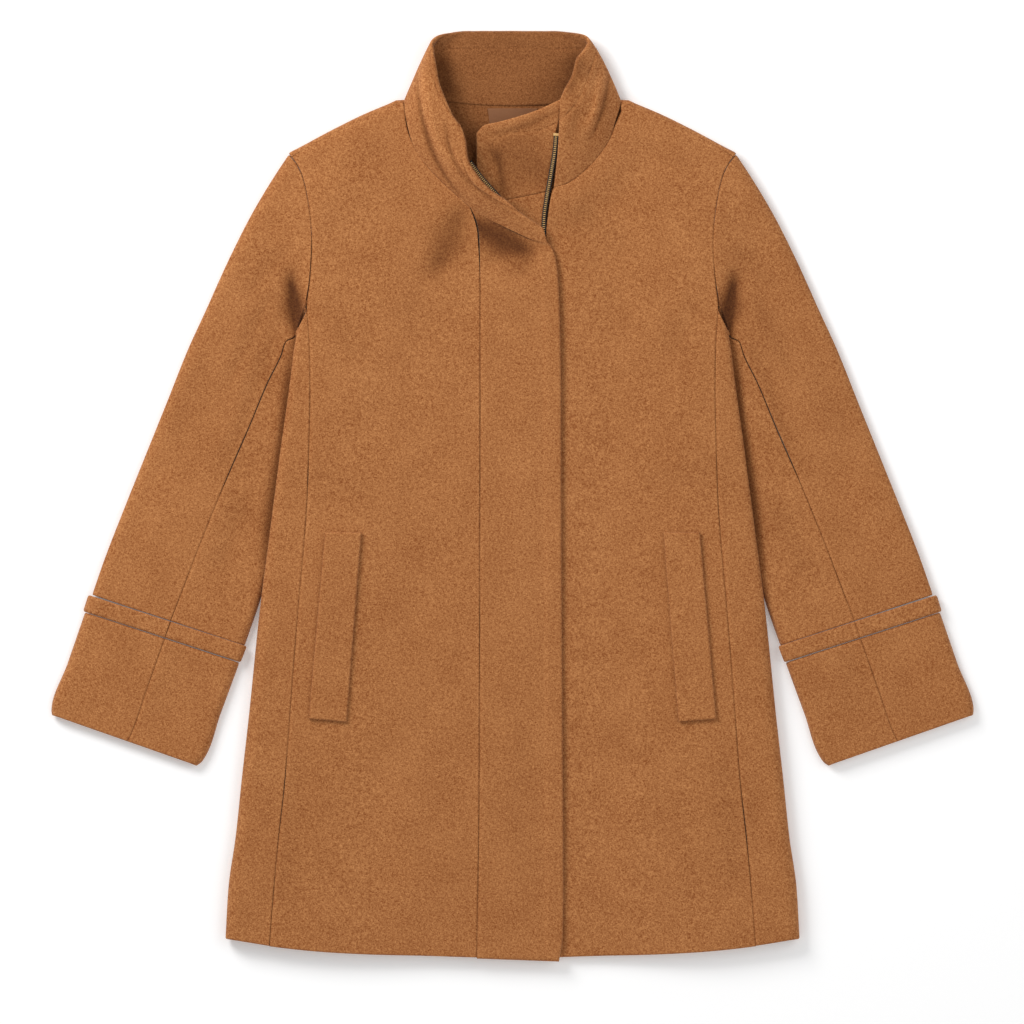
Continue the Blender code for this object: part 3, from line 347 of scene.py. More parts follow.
# Grooves and pressed ridges along the collar's edges, and dips near its top, with painted shade in the
# troughs and painted highlights on the ridges.
COLLAR_CREASES = [
    Crease([(-95, 432), (-94, 410), (-90, 380), (-80, 346), (-58, 308), (-38, 288)], 0.7, 2.6, 8.0),
    Crease([(-89, 436), (-88, 408), (-82, 376), (-71, 344), (-50, 316)], -1.9, 4.2, 2.0),
    Crease([(-70, 392), (-66, 366), (-60, 340), (-46, 318), (-22, 298), (14, 274)], 0.7, 2.6, 7.0),
    Crease([(-60, 360), (-54, 336), (-36, 312), (-6, 290), (18, 278)], -1.2, 4.0, 2.0),
    Crease([(97, 430), (94, 410), (88, 382), (74, 350)], 0.7, 2.6, 8.0),
    Crease([(91, 432), (88, 410), (82, 384), (70, 356)], -1.8, 4.2, 2.0),
    Crease([(68, 396), (62, 370), (56, 344)], 0.8, 6.0, 2.0),
    Crease([(-60, 442), (0, 447), (55, 442)], 0.5, 8.0, 2.0),
    Crease([(-76, 448), (-70, 422), (-62, 392)], 0.9, 10.0, 4.0),
    Crease([(70, 448), (62, 420), (50, 396)], 0.9, 10.0, 4.0),
]
UNDERSIDE_CREASES = [
    Crease([(-120, 330), (-60, 290), (20, 270)], 0.4, 26.0),
    Crease([(150, 240), (90, 160), (60, 60)], 0.4, 30.0),
    Crease([(-150, 60), (-90, -60), (-60, -200)], 0.4, 30.0),
    Crease([(120, -120), (60, -240), (40, -400)], 0.4, 30.0),
]

# Lines of stitching on the cloth: where each runs and how strongly it is drawn in.
Stitch = namedtuple("Stitch", "line strength")
COLLAR_EDGE_SEAM_RIGHT = [
    (-52.1, 361), (-53.9, 371.7), (-66.5, 389.6), (-73.5, 402), (-78.9, 416.4), (-82, 434.2),
    (-80.7, 446.7), (-73.5, 457.4), (-61.1, 462.8),
]
COLLAR_FRONT_SEAM_RIGHT = [
    (-51.2, 337.8), (-46.8, 325.3), (-37.9, 311), (-25.5, 302), (-11.1, 293.1), (6.8, 284.2),
    (24.5, 277), (33.5, 270),
]
COLLAR_STITCH_LEFT = [
    (82.5, 441.4), (78.2, 429), (71.1, 409.2), (62.1, 391.4), (47.9, 377.1), (37.1, 370),
    (-18.2, 354.7), (-20.9, 350.3), (-18.2, 334.2), (-21.8, 314.6),
]
INNER_BACK_STITCH = [(-70.5, 447.6), (0.0, 448.2), (67.5, 447.6)]
FLY_STITCH = [
    (9.1, 270), (21.9, 258), (28.3, 236), (29.5, 199), (31.5, 175), (32.1, 133), (33.0, 0),
    (33.6, -200), (33.8, -454),
]

# ---- curves and small formulas -------------------------------------------------------------------


def ease(low: float, high: float, value: float) -> float:
    """0 below low, 1 above high, and a smooth S between."""
    part = min(1.0, max(0.0, (value - low) / (high - low)))
    return part * part * (3.0 - 2.0 * part)


def mix(start: float, end: float, part: float) -> float:
    """The value a share of the way from start to end."""
    return start + (end - start) * part


def read(rows: Sequence[Sequence[float]], value: float) -> float:
    """A smooth curve through two-column rows.

    Args:
        rows: the curve's points.
        value: where to read it, in the first column.

    Returns:
        The second column's value there.
    """
    table = np.array(sorted(tuple(row) for row in rows), dtype=float)
    x, y = table[:, 0], table[:, 1]
    slope = np.gradient(y, x)
    i = int(np.clip(np.searchsorted(x, value) - 1, 0, len(x) - 2))
    step = x[i + 1] - x[i]
    s = min(1.0, max(0.0, (value - x[i]) / step))
    return float((2 * s**3 - 3 * s**2 + 1) * y[i] + (s**3 - 2 * s**2 + s) * step * slope[i]
                 + (3 * s**2 - 2 * s**3) * y[i + 1] + (s**3 - s**2) * step * slope[i + 1])


def in_radians(degrees: float) -> float:
    """An angle in radians."""
    return degrees * pi / 180


def arc(depth: float, width: float) -> float:
    """Height, from 0 to 1, of a rounded edge at a depth inside it."""
    if depth >= width:
        return 1.0
    return sqrt(max(0.0, 1.0 - (1.0 - depth / width) ** 2))


def hem_drop(half: float) -> float:
    """The hem's height at a half-width."""
    return -read(HEM, abs(half))


def shoulder_fold(half: float) -> float:
    """Where the shoulder's fold lies at a half-width."""
    return read(SHOULDER, min(222.0, max(100.0, half)))


def shoulder_depth(half: float, y: float) -> float:
    """Distance down the front from the shoulder's fold."""
    return (shoulder_fold(half) - y) * SHOULDER_TILT


def neck_nearness(half: float, y: float) -> float:
    """1 on the neck seam, falling to 0 a little way from it."""
    reach = sqrt((half / 1.05) ** 2 + (y - 397.0) ** 2)
    return 1.0 - ease(108.0, 150.0, reach)


def armhole_x(y: float) -> float:
    """The armhole's half-width at a height."""
    heights = sorted(ARMHOLE_X)
    return float(np.interp(y, heights, [ARMHOLE_X[height] for height in heights]))


def front_height(side: int, half: float, y: float) -> float:
    """Middle of a front's cloth above the table.

    Args:
        side: -1 for the wearer's right, 1 for the left.
        half: distance from the middle line.
        y: height up the coat.

    Returns:
        The height of the middle of the cloth.
    """
    middle = RIGHT_HEIGHT if side < 0 else mix(LEFT_HEIGHT - 1.2, LEFT_HEIGHT, ease(40, 66, half))
    height = mix(middle, SIDE_HEIGHT, ease(70.0, 205.0, half))
    height = mix(height, NECK_HEIGHT, neck_nearness(half, y))
    near = ease(60.0, 0.0, shoulder_depth(half, y)) if half > 100 else 0.0
    height = mix(height, SHOULDER_HEIGHT, near)
    wave = 0.5 * sin(half / 31.0 + y / 57.0) * sin(y / 83.0) * ease(-462.0, -400.0, y)
    core = (height + FLOOR_LAYER) / 2
    on_shoulder = half > 95 and y > 320
    rounding = arc(max(0.0, shoulder_depth(half, y)), EDGE_ROLL) if on_shoulder else 1.0
    return core + (height - core) * rounding + wave * rounding


def sleeve_inner_fold(y: float) -> float:
    """Half-width of the sleeve's inner fold where it lies under the body's side."""
    points = sorted((row.in_y, row.in_x) for row in SLEEVE_ROWS)
    return float(np.interp(y, [p[0] for p in points], [p[1] for p in points]))


def lifted(half: float, y: float) -> float:
    """Middle of the body's under layer: flat, but lifted where the sleeve lies under it."""
    present = ease(171.0, 150.0, y) * ease(-152.0, -100.0, y)
    fold = min(sleeve_inner_fold(y), sleeve_inner_fold(y - TUCK_LEAD))
    return FLOOR_LAYER + TUCK_LIFT * present * ease(fold - 17.0, fold - 5.0, half)


# ---- smooth surfaces through coarse rows ---------------------------------------------------------


def along(rows: Grid) -> np.ndarray:
    """Mean distance along a grid's first axis, in mm, from its first row."""
    steps = np.linalg.norm(np.diff(rows, axis=0), axis=2).mean(axis=1)
    return np.concatenate([[0.0], np.cumsum(np.maximum(steps, 1e-6))])


def refine(rows: Grid, places: np.ndarray, soft: bool, marks: Sequence[float] = ()) -> Grid:
    """Read a grid between its rows.

    Args:
        rows: points, first axis to be refined.
        places: distances along that axis.
        soft: a rounder curve that may swing a little past its points.
        marks: the rows' own distances, unless they are as `along` measures them.

    Returns:
        The grid with one row for each place.
    """
    t = np.array(marks) if len(marks) else along(rows)
    h = np.diff(t)[:, None, None]
    d = np.diff(rows, axis=0) / h
    if len(t) == 2:
        slope = np.concatenate([d, d])
    elif soft:
        inner = (d[:-1] * h[1:] + d[1:] * h[:-1]) / (h[1:] + h[:-1])
        slope = np.concatenate([d[:1], inner, d[-1:]])
    else:
        w1, w2 = 2 * h[1:] + h[:-1], h[1:] + 2 * h[:-1]
        same = d[:-1] * d[1:] > 0
        safe_a = np.where(same, d[:-1], 1.0)
        safe_b = np.where(same, d[1:], 1.0)
        inner = np.where(same, (w1 + w2) / (w1 / safe_a + w2 / safe_b), 0.0)
        slope = np.concatenate([d[:1], inner, d[-1:]])
    i = np.clip(np.searchsorted(t, places, side="right") - 1, 0, len(t) - 2)
    s = ((places - t[i]) / (t[i + 1] - t[i]))[:, None, None]
    step = h[i]
    return ((2 * s**3 - 3 * s**2 + 1) * rows[i] + (s**3 - 2 * s**2 + s) * step * slope[i]
            + (3 * s**2 - 2 * s**3) * rows[i + 1] + (s**3 - s**2) * step * slope[i + 1])


def places_along(length: float, step: float, thickness: float) -> np.ndarray:
    """Distances for fine rows: even steps, with close ones that round off both ends."""
    radius = thickness / 2
    near = [0.0, 0.08 * radius, 0.3 * radius, 0.65 * radius, 1.1 * radius, 1.9 * radius]
    count = max(2, int((length - 4 * radius) / step))
    middle = np.linspace(near[-1] + step * 0.7, length - near[-1] - step * 0.7, count)
    return np.concatenate([near, middle, [length - n for n in reversed(near)]])


def fine(rows: Sequence[Sequence[Point]], step: float, thickness: float,
         soft: bool = False, lead: Union[int, None] = None) -> Grid:
    """Draw a coarse grid finely, with rows kept close along its borders.

    Args:
        rows: the coarse points.
        step: distance between the fine ones, in mm.
        thickness: the cloth's, for the rows that round its edges.
        soft: a rounder curve that may swing a little past its points.
        lead: the column that sets the rows' distances, so that two pieces share a seam line.

    Returns:
        The fine grid.
    """
    grid = np.array(rows, dtype=float)
    marks = along(grid) if lead is None else along(grid[:, [lead]])
    grid = refine(grid, places_along(marks[-1], step, thickness), soft, marks)
    turned = grid.transpose(1, 0, 2)
    turned = refine(turned, places_along(along(turned)[-1], step, thickness), soft)
    return turned.transpose(1, 0, 2)


def border_distances(grid: Grid) -> list[np.ndarray]:
    """Distances, in mm, from a grid's first and last rows and first and last columns."""
    result = []
    for axis in (0, 1):
        steps = np.linalg.norm(np.diff(grid, axis=axis), axis=2)
        start = np.zeros(grid.shape[:2])
        if axis == 0:
            start[1:] = np.cumsum(steps, axis=0)
            result += [start, start[-1:] - start]
        else:
            start[:, 1:] = np.cumsum(steps, axis=1)
            result += [start, start[:, -1:] - start]
    return result


def rounded(share: np.ndarray) -> np.ndarray:
    """A quarter circle's height, 0 at a share of 0 and 1 from a share of 1."""
    return np.sqrt(1.0 - (1.0 - np.clip(share, 0.0, 1.0)) ** 2)


def line_distance(grid: Grid, line: Sequence[Sequence[float]]) -> tuple[np.ndarray, np.ndarray]:
    """Distance in plan from each grid point to a line.

    Args:
        grid: the points.
        line: the line's corners, x and y.

    Returns:
        The distance, signed by side, and the share of the line's length where it is nearest.
    """
    x, y = grid[..., 0], grid[..., 1]
    corners = np.array(line, dtype=float)
    lengths = np.hypot(*np.diff(corners, axis=0).T)
    start = np.concatenate([[0.0], np.cumsum(lengths)])
    best = np.full(x.shape, 1e6)
    signed, share = best.copy(), np.zeros_like(best)
    for k, ((ax, ay), (bx, by)) in enumerate(zip(corners[:-1], corners[1:])):
        run_x, run_y = bx - ax, by - ay
        part = np.clip(((x - ax) * run_x + (y - ay) * run_y) / lengths[k] ** 2, 0.0, 1.0)
        away_x, away_y = x - ax - part * run_x, y - ay - part * run_y
        distance = np.hypot(away_x, away_y)
        nearer = distance < best
        best[nearer] = distance[nearer]
        turned = np.where(run_x * away_y < run_y * away_x, -distance, distance)
        signed[nearer] = turned[nearer]
        share[nearer] = ((start[k] + part * lengths[k]) / start[-1])[nearer]
    return signed, share


def smooth_line(points: Sequence[Sequence[float]], count: int = 12) -> list[tuple[float, float]]:
    """More points on a smooth curve through a few."""
    rows = np.array(points, dtype=float)[:, None, :]
    fine_rows = refine(rows, np.linspace(0.0, along(rows)[-1], count), True)
    return [(float(p[0]), float(p[1])) for p in fine_rows[:, 0, :2]]


def crease(grid: Grid, creases: Sequence[Crease]) -> tuple[np.ndarray, np.ndarray]:
    """How far creases lower each point of a grid, in mm, and how much painted shade they lay on it (below 0
    on ridges, a painted highlight).
    """
    depth, shade = np.zeros(grid.shape[:2]), np.zeros(grid.shape[:2])
    for fold in creases:
        distance, share = line_distance(grid, smooth_line(fold.line))
        ends = np.clip(np.minimum(share, 1.0 - share) / 0.3, 0.0, 1.0)
        ends = ends * ends * (3.0 - 2.0 * ends)
        wander = 1.0 + 0.25 * np.sin(share * 11.0 + fold.width)
        own = fold.depth * ends * np.exp(-(distance / (fold.width * wander)) ** 2)
        depth += own
        shade += own * fold.shade
    return depth, shade


def unevenness(grid: Grid, size: float) -> np.ndarray:
    """Gentle lumps of laid cloth, in mm, about zero."""
    x, y = grid[..., 0], grid[..., 1]
    return size * (0.5 * np.sin(x / 23.0) * np.sin(y / 31.0) + 0.3 * np.sin(x / 13.0 - y / 19.0)
                   + 0.2 * np.sin(x / 8.5 + y / 11.0))

# ---- the panels' middle surfaces -----------------------------------------------------------------


def front_rows(side: int) -> list[FrontRow]:
    """Inner and outer ends of a front's rows, from the hem to the shoulder."""
    upper = RIGHT_UPPER if side < 0 else LEFT_UPPER
    rows = []
    for row, in_y, in_x in zip(SIDE_ROWS, PRINCESS_Y_IN, RIGHT_PLACKET_X):
        rows.append(FrontRow(in_x if side < 0 else LEFT_ZIP_X, in_y, row.front_x, row.front_y))
    return rows + upper


def front_grid(side: int, across: int = 14) -> list[list[Point]]:
    """A front, from the placket seam or the zip to the princess seam and armhole."""
    rows = []
    for row in front_rows(side):
        points = []
        for i in range(across + 1):
            part = i / across
            x = mix(row.in_x, row.out_x, part)
            y = mix(row.in_y, row.out_y, part)
            if y < HEM_START:
                y = hem_drop(x)
            points.append((x, y))
        rows.append(points)
    seam = [shoulder_fold(x) - SHOULDER_SEAM / SHOULDER_TILT - y for x, y in rows[-1]]
    for back, share in ((1, 1.0), (2, 0.75), (3, 0.5), (4, 0.25)):
        rows[-back] = [(x, y + rise * share) for (x, y), rise in zip(rows[-back], seam)]
    return [[(x, y, front_height(side, x, y)) for x, y in row] for row in rows]


def side_section(row: SideRow, side: int) -> list[Point]:
    """One section of a side panel, from the front seam round the fold to the back seam."""
    edge = read(SIDE_EDGE, row.edge_y)
    inner = edge - row.roll
    points = []
    for i in range(6):
        x = mix(row.front_x, inner, i / 6)
        y = mix(row.front_y, row.edge_y, (x - row.front_x) / (edge - row.front_x))
        points.append((x, y if y > HEM_START else max(y, hem_drop(x)), front_height(side, x, y)))
    top = front_height(side, inner, row.edge_y)
    bottom = lifted(edge - 3.0, row.edge_y)
    middle = (top + bottom) / 2
    for degrees in FOLD_TURNS:
        turn = in_radians(degrees)
        x = edge - row.roll * (1 - cos(turn))
        y = mix(row.front_y, row.edge_y, (x - row.front_x) / (edge - row.front_x))
        points.append((x, y, middle + (top - middle) * sin(turn)))
    floor_roll = min(FLOOR_ROLL, row.roll)
    for degrees in FLOOR_TURNS:
        turn = in_radians(degrees)
        x = edge - floor_roll * (1 - cos(turn))
        points.append((x, row.edge_y, middle - (middle - bottom) * sin(turn)))
    start = edge - floor_roll
    for part in (0.12, 0.25, 0.4, 0.6, 0.8, 1.0):
        x = mix(start, row.back_x, part)
        y = mix(row.edge_y, row.back_y, part)
        points.append((x, y, lifted(x, y)))
    return points


def back_neck(half: float) -> tuple[float, float]:
    """The back's neck seam and its height: flat, rising where the collar turns up."""
    y = mix(NECK_SEAM_Y, 391.6, ease(40.0, 100.0, half))
    return y, mix(FLOOR_LAYER, 2.4, ease(90.0, 108.0, half))


def back_grid() -> list[list[Point]]:
    """The back panel: flat on the table, its shoulders rolled up to the shoulder seams."""
    rows = []
    for side_row, in_y in zip(SIDE_ROWS, PRINCESS_Y_IN):
        line = []
        for share in BACK_COLUMNS:
            x = side_row.back_x * share
            y = mix(in_y, side_row.back_y, share ** 2)
            line.append((x, y if y > HEM_START else hem_drop(x), FLOOR_LAYER))
        rows.append(line)
    top_x = [share * 220.3 for share in BACK_COLUMNS]
    top_y = [(shoulder_fold(x) - EDGE_ROLL) if share > NECK_SHARE else back_neck(x)[0] - 12.0
             for x, share in zip(top_x, BACK_COLUMNS)]
    for end in RIGHT_UPPER[:8]:
        part = (end.out_y - UNDERARM_Y) / (ARMHOLE_HIGH - UNDERARM_Y)
        line = []
        for share, x_top, y_top in zip(BACK_COLUMNS, top_x, top_y):
            x = mix(share * 206.5, x_top, part) if share < 1 else end.out_x
            y = mix(mix(232.0, UNDERARM_Y, share ** 2), y_top, part) if share < 1 else end.out_y
            line.append((x, y, FLOOR_LAYER))
        rows.append(line)
    steps = ((FLOOR_ROLL, -90, 8.0), (4.4, -66, 6.8), (2.2, -43, 5.5), (0.7, -20, 4.4),
             (0.0, 0, 3.5), (0.5, 0, 2.7), (1.2, 0, 1.7), (2.4, 0, 0.8), (SHOULDER_SEAM, 0, 0.0))
    for depth, degrees, step in steps:
        line = []
        for share, x in zip(BACK_COLUMNS, top_x):
            if share > NECK_SHARE:
                top = mix(front_height(-1, x, shoulder_fold(x) - 14.0), SHOULDER_HEIGHT, 0.5)
                middle = (top + FLOOR_LAYER) / 2
                y = shoulder_fold(x) - depth / SHOULDER_TILT
                rise = arc(depth, EDGE_ROLL) * (top - middle)
                if degrees:
                    rise = (middle - FLOOR_LAYER) * sin(in_radians(degrees))
                z = middle + rise
            else:
                y_neck, z_neck = back_neck(x)
                y = y_neck - step
                z = mix(FLOOR_LAYER, z_neck, ease(9.0, 0.0, step))
            if share == 1.0:
                x = armhole_x(y)
            line.append((x, y, z))
        rows.append(line)
    return [[(-x, y, z) for x, y, z in reversed(row[1:])] + row for row in rows]


# ---- the sleeves' middle surfaces ----------------------------------------------------------------

ARMHOLE_Y = [321, 305, 288, 270, 252, 236, 217]
ARMHOLE_SHARES = [(ARMHOLE_TOP - y) / (ARMHOLE_TOP - ARMHOLE_LOW) for y in ARMHOLE_Y]
ARMHOLE_GAP = (0.15, 0.0)   # the sleeve's top edge, moved clear of the body's


def armhole_offset(share: float) -> float:
    """How far the armhole's curve lies from the straight line between its ends."""
    first = SLEEVE_ROWS[0]
    heights = [ARMHOLE_TOP, ARMHOLE_HIGH] + ARMHOLE_Y + [UNDERARM_Y]
    xs = [(ARMHOLE_TOP - y) / (ARMHOLE_TOP - ARMHOLE_LOW) for y in heights]
    bends = [armhole_x(y) - mix(first.out_x, first.in_x, part) for y, part in zip(heights, xs)]
    return float(np.interp(share, xs + [1.0], bends + [0.0]))


def sleeve_place(row: SleeveRow, share: float) -> tuple[float, float]:
    """A point across a sleeve in plan, 0 at the outer fold and 1 at the inner one."""
    near = min(1.0, (1.0 - share) / TURN_REACH)
    turned = row.turn * 6.75 * near * (1.0 - near) ** 2
    x = mix(row.out_x, row.in_x, share) + row.bow * armhole_offset(share) + turned
    y = mix(row.out_y, row.in_y, share)
    if row.bow == 1.0:
        return x + ARMHOLE_GAP[0], y + ARMHOLE_GAP[1]
    return x, y


def sleeve_top(row: SleeveRow, share: float, side: int) -> float:
    """Middle of the sleeve's upper layer."""
    height = mix(row.middle, row.inner, ease(0.42, 0.86, share))
    if row.bow == 0.0:
        return height
    x, y = sleeve_place(row, share)
    weight = 1.0 if row.bow == 1.0 else row.bow ** 2 * (1.0 - ease(0.72, 0.97, share))
    return mix(height, front_height(side, x, min(y, 322.0)), weight)


def tube_section(row: SleeveRow, side: int, floor: float, inner_side: bool) -> list[Point]:
    """One section of a sleeve piece: round the inner fold, or round the outer one.

    Args:
        row: the sleeve's sizes there.
        side: -1 for the wearer's right, 1 for the left.
        floor: the middle of the layer on the table.
        inner_side: whether the piece is the one round the inner fold.

    Returns:
        The section's points, from the front seam to the back one.
    """
    width = sqrt((row.out_x - row.in_x) ** 2 + (row.out_y - row.in_y) ** 2)
    scale = row.seam / SLEEVE_ROWS[0].seam
    points: list[Point] = []

    def add(share: float, z: float) -> None:
        """Add the point at a share of the way across."""
        points.append((*sleeve_place(row, share), z))

    if inner_side:
        roll = row.roll / width
        top = sleeve_top(row, 1.0 - roll, side)
        middle = (top + floor) / 2
        floor_roll = min(roll, FLOOR_ROLL / width)
        for part in (0.0, 0.2, 0.4, 0.6, 0.8):
            share = mix(row.seam, 1.0 - roll, part)
            add(share, sleeve_top(row, share, side))
        for degrees in INNER_TURNS:
            turn = in_radians(degrees)
            add(1.0 - roll * (1 - cos(turn)), middle + (top - middle) * sin(turn))
        for degrees in FLOOR_TURNS:
            turn = in_radians(degrees)
            add(1.0 - floor_roll * (1 - cos(turn)), middle - (middle - floor) * sin(turn))
        for share in reversed(ARMHOLE_SHARES[3:]):
            add(min(share, 1.0 - floor_roll - 0.012), floor)
        return points
    roll = EDGE_ROLL / width
    top = sleeve_top(row, roll, side)
    middle = (top + floor) / 2
    add(row.seam, sleeve_top(row, row.seam, side))
    for share in reversed(ARMHOLE_SHARES):
        add(max(share * scale, roll * 1.25), sleeve_top(row, max(share * scale, roll), side))
    for degrees in FOLD_TURNS:
        turn = in_radians(degrees)
        add(roll * (1 - cos(turn)), middle + (top - middle) * sin(turn))
    floor_roll = FLOOR_ROLL / width
    for degrees in FLOOR_TURNS:
        turn = in_radians(degrees)
        add(floor_roll * (1 - cos(turn)), middle - (middle - floor) * sin(turn))
    for share in ARMHOLE_SHARES[:4]:
        add(share, floor)
    return points


# ---- the collar's and the middle's surfaces ------------------------------------------------------


def collar_core(table: Sequence[CollarRow], sign: int, steps: int = 16) -> Grid:
    """The collar's core surface, a row for each section, from the neck seam to the top edge."""
    rows = []
    for section in table:
        neck, bend, top = (np.array(point, dtype=float) for point in section)
        shares = [step / steps for step in range(steps + 1)]
        rows.append([neck * (1 - s) ** 2 + bend * 2 * s * (1 - s) + top * s ** 2 for s in shares])
    return np.array(rows) * np.array([sign, 1.0, 1.0])


def normals(grid: Grid) -> Grid:
    """Unit normals of a grid: its first axis crossed with its second."""
    across_rows = np.gradient(grid, axis=0)
    across_columns = np.gradient(grid, axis=1)
    found = np.cross(across_rows, across_columns)
    length = np.linalg.norm(found, axis=2, keepdims=True)
    return found / np.maximum(length, 1e-9)


def moved_out(core: Grid, distance: float) -> Grid:
    """A grid moved along its own normals, its neck edge drawn up clear of the seam."""
    shares = np.linspace(0.0, 1.0, core.shape[1])
    closer = np.interp(shares, [0.0, 0.5, 1.0], [1.0, 0.92, COLLAR_CLOTH / 2 / COLLAR_GAP])
    grid = core + normals(core) * (distance * closer)[None, :, None]
    turn_x, turn_y, radius = COLLAR_TURN
    clear = np.hypot(core[:, 0, 0] - turn_x, core[:, 0, 1] - turn_y) - radius
    clear = np.clip(clear / 14.0, 0.0, 1.0)[:, None]
    up = core[:, 1] - core[:, 0]
    length = np.linalg.norm(up, axis=1, keepdims=True)
    flat = np.linalg.norm(up[:, :2], axis=1, keepdims=True)
    steep = np.minimum(1.2, np.abs(up[:, 2:]) / np.maximum(flat, 1e-6))
    reach = NECK_CLEAR + (COLLAR_GAP + COLLAR_CLOTH / 2) * steep * 0.8
    for j in range(4):
        shift = reach * (1.0 - j / 4) * 0.9
        grid[:, j] += up / length * shift * clear
    return grid


def placket_grid() -> list[list[Point]]:
    """The fly placket, from its hem to the rolled end that runs on into the collar."""
    shares = [0.0, 0.09, 0.167, 0.27, 0.372, 0.48, 0.59, 0.7, 0.81, 0.9, 1.0]
    rows = []
    for row in PLACKET_ROWS:
        line = []
        for share in shares:
            x, y = mix(row.seam_x, row.edge_x, share), mix(row.seam_y, row.edge_y, share)
            line.append((x, y, RIGHT_HEIGHT + 0.35 * sin(y / 61.0) * ease(-462.0, -400.0, y)))
        rows.append(line)
    tops = [section.neck for section in reversed(RIGHT_COLLAR[:6])]
    coarse = np.array([[(-x, y, z + COLLAR_GAP * 0.5) for x, y, z in tops]]).transpose(1, 0, 2)
    span = along(coarse)[-1]
    places = np.array([0.0, 0.09, 0.167, 0.27, 0.372, 0.48, 0.59, 0.7, 0.81, 0.9, 1.0]) * span
    rows[-1] = [tuple(point) for point in refine(coarse, places, True)[:, 0]]
    return rows


def guard_grid() -> list[list[Point]]:
    """The underlap behind the zip, from its hem to its neck seam."""
    columns = [section.neck[0] for section in GUARD_COLLAR]
    rows: list[list[Point]] = []
    for y in (-459.0, -380, -250, -100, 40, 150, 215, 250, 275):
        rows.append([(min(33.4, x), y, GUARD_LAYER) for x in columns])
    rows.append([section.neck for section in GUARD_COLLAR])
    return rows


def guard_collar_grid() -> list[list[Point]]:
    """The guard's collar end, from its neck seam to its rounded free edge."""
    rows = []
    for step in range(13):
        part = step / 12
        line = []
        for section in GUARD_COLLAR:
            x, y = (mix(section.neck[k], section.top[k], part) for k in (0, 1))
            x += 1.4 * ease(0.64, 0.74, part) * ease(20.0, 36.0, x)
            line.append((x, y, mix(section.neck[2], section.top[2], part ** 1.15)))
        rows.append(line)
    return rows


def guard_height(y: float) -> float:
    """Top of the guard under the zip."""
    if y < 275:
        return GUARD_LAYER + GUARD_CLOTH / 2
    low, high = GUARD_COLLAR[0].neck, GUARD_COLLAR[0].top
    if y < low[1]:
        return mix(GUARD_LAYER, low[2], (y - 275) / (low[1] - 275)) + GUARD_CLOTH / 2
    part = ((y - low[1]) / (high[1] - low[1])) ** 1.15
    return mix(low[2], high[2], part) + GUARD_CLOTH / 2 + 0.6


def zip_route(side: int) -> list[Point]:
    """The middle of a zip half's tape, from its top stop to the hem."""
    if side < 0:
        return list(ZIP_RIGHT)
    return [(x, y, guard_height(y) + REST + ZIP_CLOTH / 2) for x, y, _ in ZIP_LEFT]


def tape_grid(route: Sequence[Point], width: float) -> list[list[Point]]:
    """A flat tape along a route, lying level across."""
    points = [Vector(point) for point in route]
    rows = []
    for i, point in enumerate(points):
        ahead = points[min(i + 1, len(points) - 1)] - points[max(i - 1, 0)]
        across = Vector((ahead.y, -ahead.x, 0)).normalized() * width / 2
        rows.append([tuple(point - across), tuple(point), tuple(point + across)])
    return rows


def welt_grid(side: int) -> list[list[Point]]:
    """A pocket welt on its panel, from its lower end to its upper one."""
    upper_out, upper_in, lower_in, lower_out = WELT
    rise = CLOTH / 2 + REST + 0.1 + WELT_CLOTH / 2
    grid = []
    for i in range(17):
        part = i / 16
        start = (mix(lower_in[0], upper_in[0], part), mix(lower_in[1], upper_in[1], part))
        end = (mix(lower_out[0], upper_out[0], part), mix(lower_out[1], upper_out[1], part))
        line = []
        for j in range(7):
            x, y = mix(start[0], end[0], j / 6), mix(start[1], end[1], j / 6)
            line.append((x, y, front_height(side, x, y) + rise))
        grid.append(line)
    return grid


def facing_grid() -> list[list[Point]]:
    """The inner back-neck facing, a shallow half-moon below the inner collar."""
    height = CLOTH + REST + FACING_CLOTH / 2
    rows: list[list[Point]] = []
    for part in (0.0, 0.25, 0.5, 0.75, 1.0):
        line = []
        for i in range(-8, 9):
            x = FACING_RADIUS * i / 8
            bottom = NECK_SEAM_Y - 12.0 - 62.0 * sqrt(1.0 - (x / (FACING_RADIUS + 8)) ** 2)
            top = NECK_SEAM_Y + 0.7 + float(np.interp(abs(x), [0, 33, 66, 92], [0, 1.4, 4.4, 7.4]))
            line.append((x, mix(bottom, top, part), height))
        rows.append(line)
    return rows


def label_grid() -> list[list[Point]]:
    """The bare neck label, sewn to the facing below the collar."""
    width, drop = LABEL_SIZE
    height = CLOTH + REST + FACING_CLOTH + REST + LABEL_CLOTH / 2
    rows: list[list[Point]] = []
    for part in (0.0, 0.5, 1.0):
        narrow = mix(width / 2 - 5.0, width / 2, part)
        rows.append([(x, mix(NECK_SEAM_Y - 2.0 - drop, NECK_SEAM_Y - 2.0, part), height)
                     for x in (-narrow, -narrow / 2, 0.0, narrow / 2, narrow)])
    return rows

# ---- cloth from a surface ------------------------------------------------------------------------


NARROWEST = 0.01    # m, the narrowest width that a piece's worked-out size takes; a zip's tape shows less


class Face(Enum):
    """Which side of a surface is the cloth's outer face."""

    UP_AT_START = "up where the first column lies"
    DOWN = "towards the table"
    WITH = "along the grid's own normal"
    AGAINST = "against the grid's own normal"


class Edge(Enum):
    """How a piece ends along one of its borders."""

    SEAM = "sewn to its neighbour in a pressed groove"
    FREE = "a rounded edge of its own"
    FOLD = "rounded on one side, against a second layer"
    FLUSH = "runs on into its neighbour"


SEWN = (Edge.SEAM,) * 4
LOOSE = (Edge.FREE,) * 4


